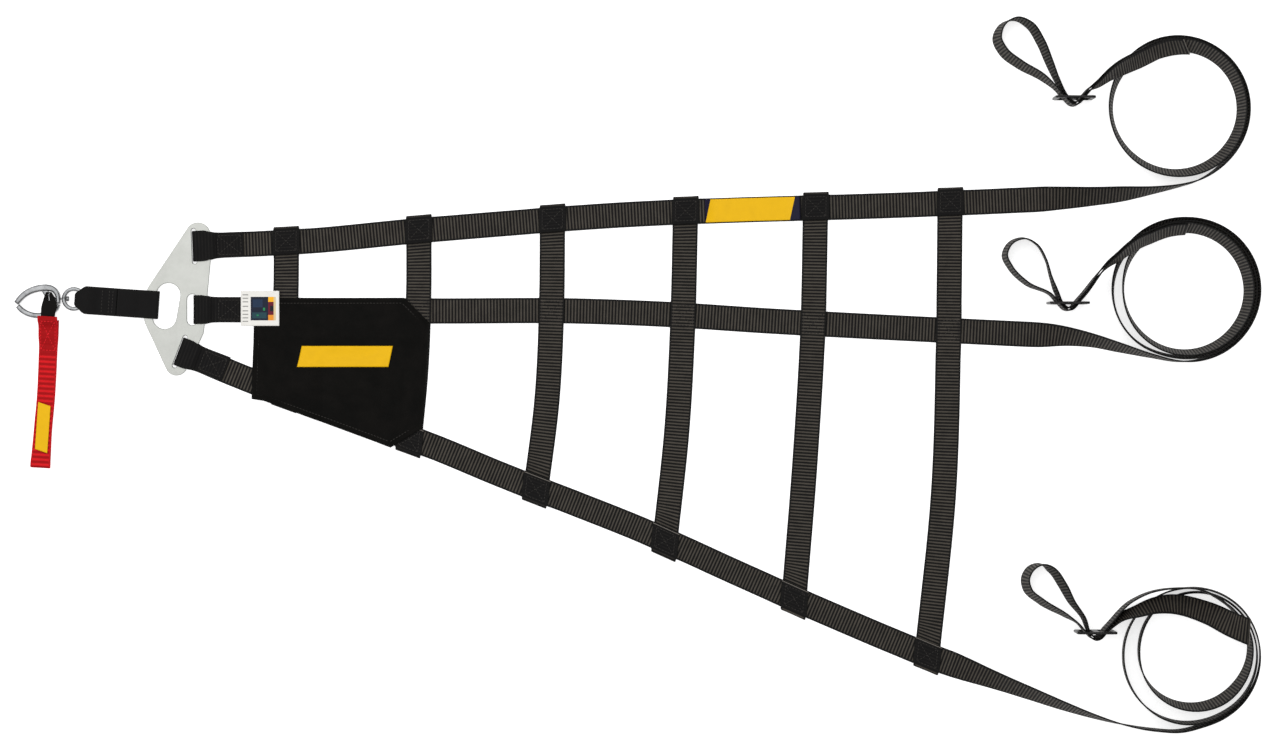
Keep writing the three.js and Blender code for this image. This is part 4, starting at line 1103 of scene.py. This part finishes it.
def satin_steel():
    """Blasting leaves a fine grit all over the plate."""
    made, tree, shader, where, _ = metal("satin_plated_steel", ("#949591", "#a7a8a4"), (0.34, 0.52),
                                         (45.0, 6.0, 0.65))
    bumped(tree, shader, noise(tree, where, 1600.0, 2.0), 0.15, 0.0001)
    return made


def polished_steel():
    """A bevel node rounds the shackle's edges by 2 mm in the shading alone."""
    made, tree, shader, _, smear = metal("polished_stainless_steel", ("#5e5f60", "#828384"), (0.1, 0.2),
                                         (160.0, 5.0, 0.6))
    rounded = node(tree, "ShaderNodeBevel", {"samples": 6, "Radius": 0.002})
    bumped(tree, shader, smear, 0.03, 0.0001, Normal=rounded.outputs[0])
    return made


def worn_and_highlit_black_steel():
    """The slides' upper edges, from 29.5 mm up, are painted pale in patches: partly wear, partly a painted
    highlight.
    """
    made, tree, shader = material("black_coated_steel", Metallic=0.6, Roughness=0.42)
    where = node(tree, "ShaderNodeTexCoord").outputs["Object"]
    height = node(tree, "ShaderNodeSeparateXYZ", i0=where).outputs[2]
    wear_and_highlight = noise(tree, where, 320.0, 6.0, 0.7)
    # Pale on the upper edges: a painted highlight where the rim faces the light, and wear in noisy
    # patches.
    bare = maths(tree, "MULTIPLY", mapped(tree, height, 0.0295, 0.0328),
                 maths(tree, "MULTIPLY_ADD", wear_and_highlight, 3.0, -1.6))
    feed(shader, "Base Color", ramp(tree, bare, (0.2, "#0c0b0b"), (0.9, "#5d5a57")))
    bumped(tree, shader, wear_and_highlight, 0.2, 0.0001)
    return made


FINISHES = {
    satin_steel(): ["plate"],
    worn_and_highlit_black_steel(): [f"{key}_slide" for key in LONG],
    polished_steel(): ["swivel_eye", "swivel_post", "shackle_body", "shackle_gate", "hinge_pin",
                       "trigger"],
}
for look, names in FINISHES.items():
    for name in names:
        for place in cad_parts[name].material_slots:
            place.link = "OBJECT"
            place.material = look
print("metal parts:", sum(len(names) for names in FINISHES.values()))

# %% [markdown]
# ## Floor, light and camera
# The net lies on a plain white surface. The photograph shows no shadows, so the floor glows a
# little, like a light table.

# %% Floor
FLOOR_GREY, FLOOR_GLOW = (0.8, 0.8, 0.8, 1), 0.62
bpy.ops.mesh.primitive_plane_add(size=12, location=(0, 0, -0.0003))
floor = bpy.context.object
floor.name = "floor"
PAPER, _, _ = material("white_paper", Roughness=0.95, Specular_IOR_Level=0.0,
                       Base_Color=FLOOR_GREY, Emission_Color=(1, 1, 1, 1),
                       Emission_Strength=FLOOR_GLOW)
floor.data.materials.append(PAPER)
print("floor's glow:", FLOOR_GLOW)

# %% [markdown]
# The light is soft. A wide area light overhead gives the metal something bright to reflect, and
# the sky is dim near the horizon, so that the metal's edges still show.

# %% Sky and lights
world = bpy.data.worlds.new("soft_room")
bpy.context.scene.world = world
world.use_nodes = True
sky = world.node_tree
look_up = node(sky, "ShaderNodeSeparateXYZ", i0=node(sky, "ShaderNodeTexCoord").outputs["Generated"])
dim = ramp(sky, look_up.outputs[2], (0.05, "#161618"), (0.7, "#ffffff"))
sky.links.new(dim, sky.nodes["Background"].inputs["Color"])
sky.nodes["Background"].inputs["Strength"].default_value = 1.0


def area_light(name, size, power, place):
    """A round lamp that looks at the frame's origin."""
    light = bpy.data.lights.new(name, "AREA")
    light.shape, light.size, light.energy = "DISK", size, power
    lamp = bpy.data.objects.new(name, light)
    bpy.context.scene.collection.objects.link(lamp)
    lamp.location = place
    lamp.rotation_euler = (-Vector(place)).to_track_quat("-Z", "Y").to_euler()


area_light("overhead", 3.5, 60, (-0.6, 1.2, 3.6))
area_light("side", 1.2, 8, (-2.0, 1.6, 1.8))
print("lights:", len(bpy.data.lights))

# %% [markdown]
# The camera looks straight down from 3.2 m, as the photographer's did. Its lens is long, so the
# coils, which stand up from the floor, hardly lean outwards in the picture.

# %% Camera
camera = bpy.data.cameras.new("camera")
camera.lens, camera.sensor_width = 90, 36
camera.dof.use_dof = False
eye = bpy.data.objects.new("camera", camera)
bpy.context.scene.collection.objects.link(eye)
eye.location = (0.0005, -0.0015, 3.2)
eye.rotation_euler = (0, 0, 0)
bpy.context.scene.camera = eye
bpy.context.scene.view_settings.view_transform = "Standard"
print("camera height, m:", round(eye.location.z, 2), "lens, mm:", camera.lens)
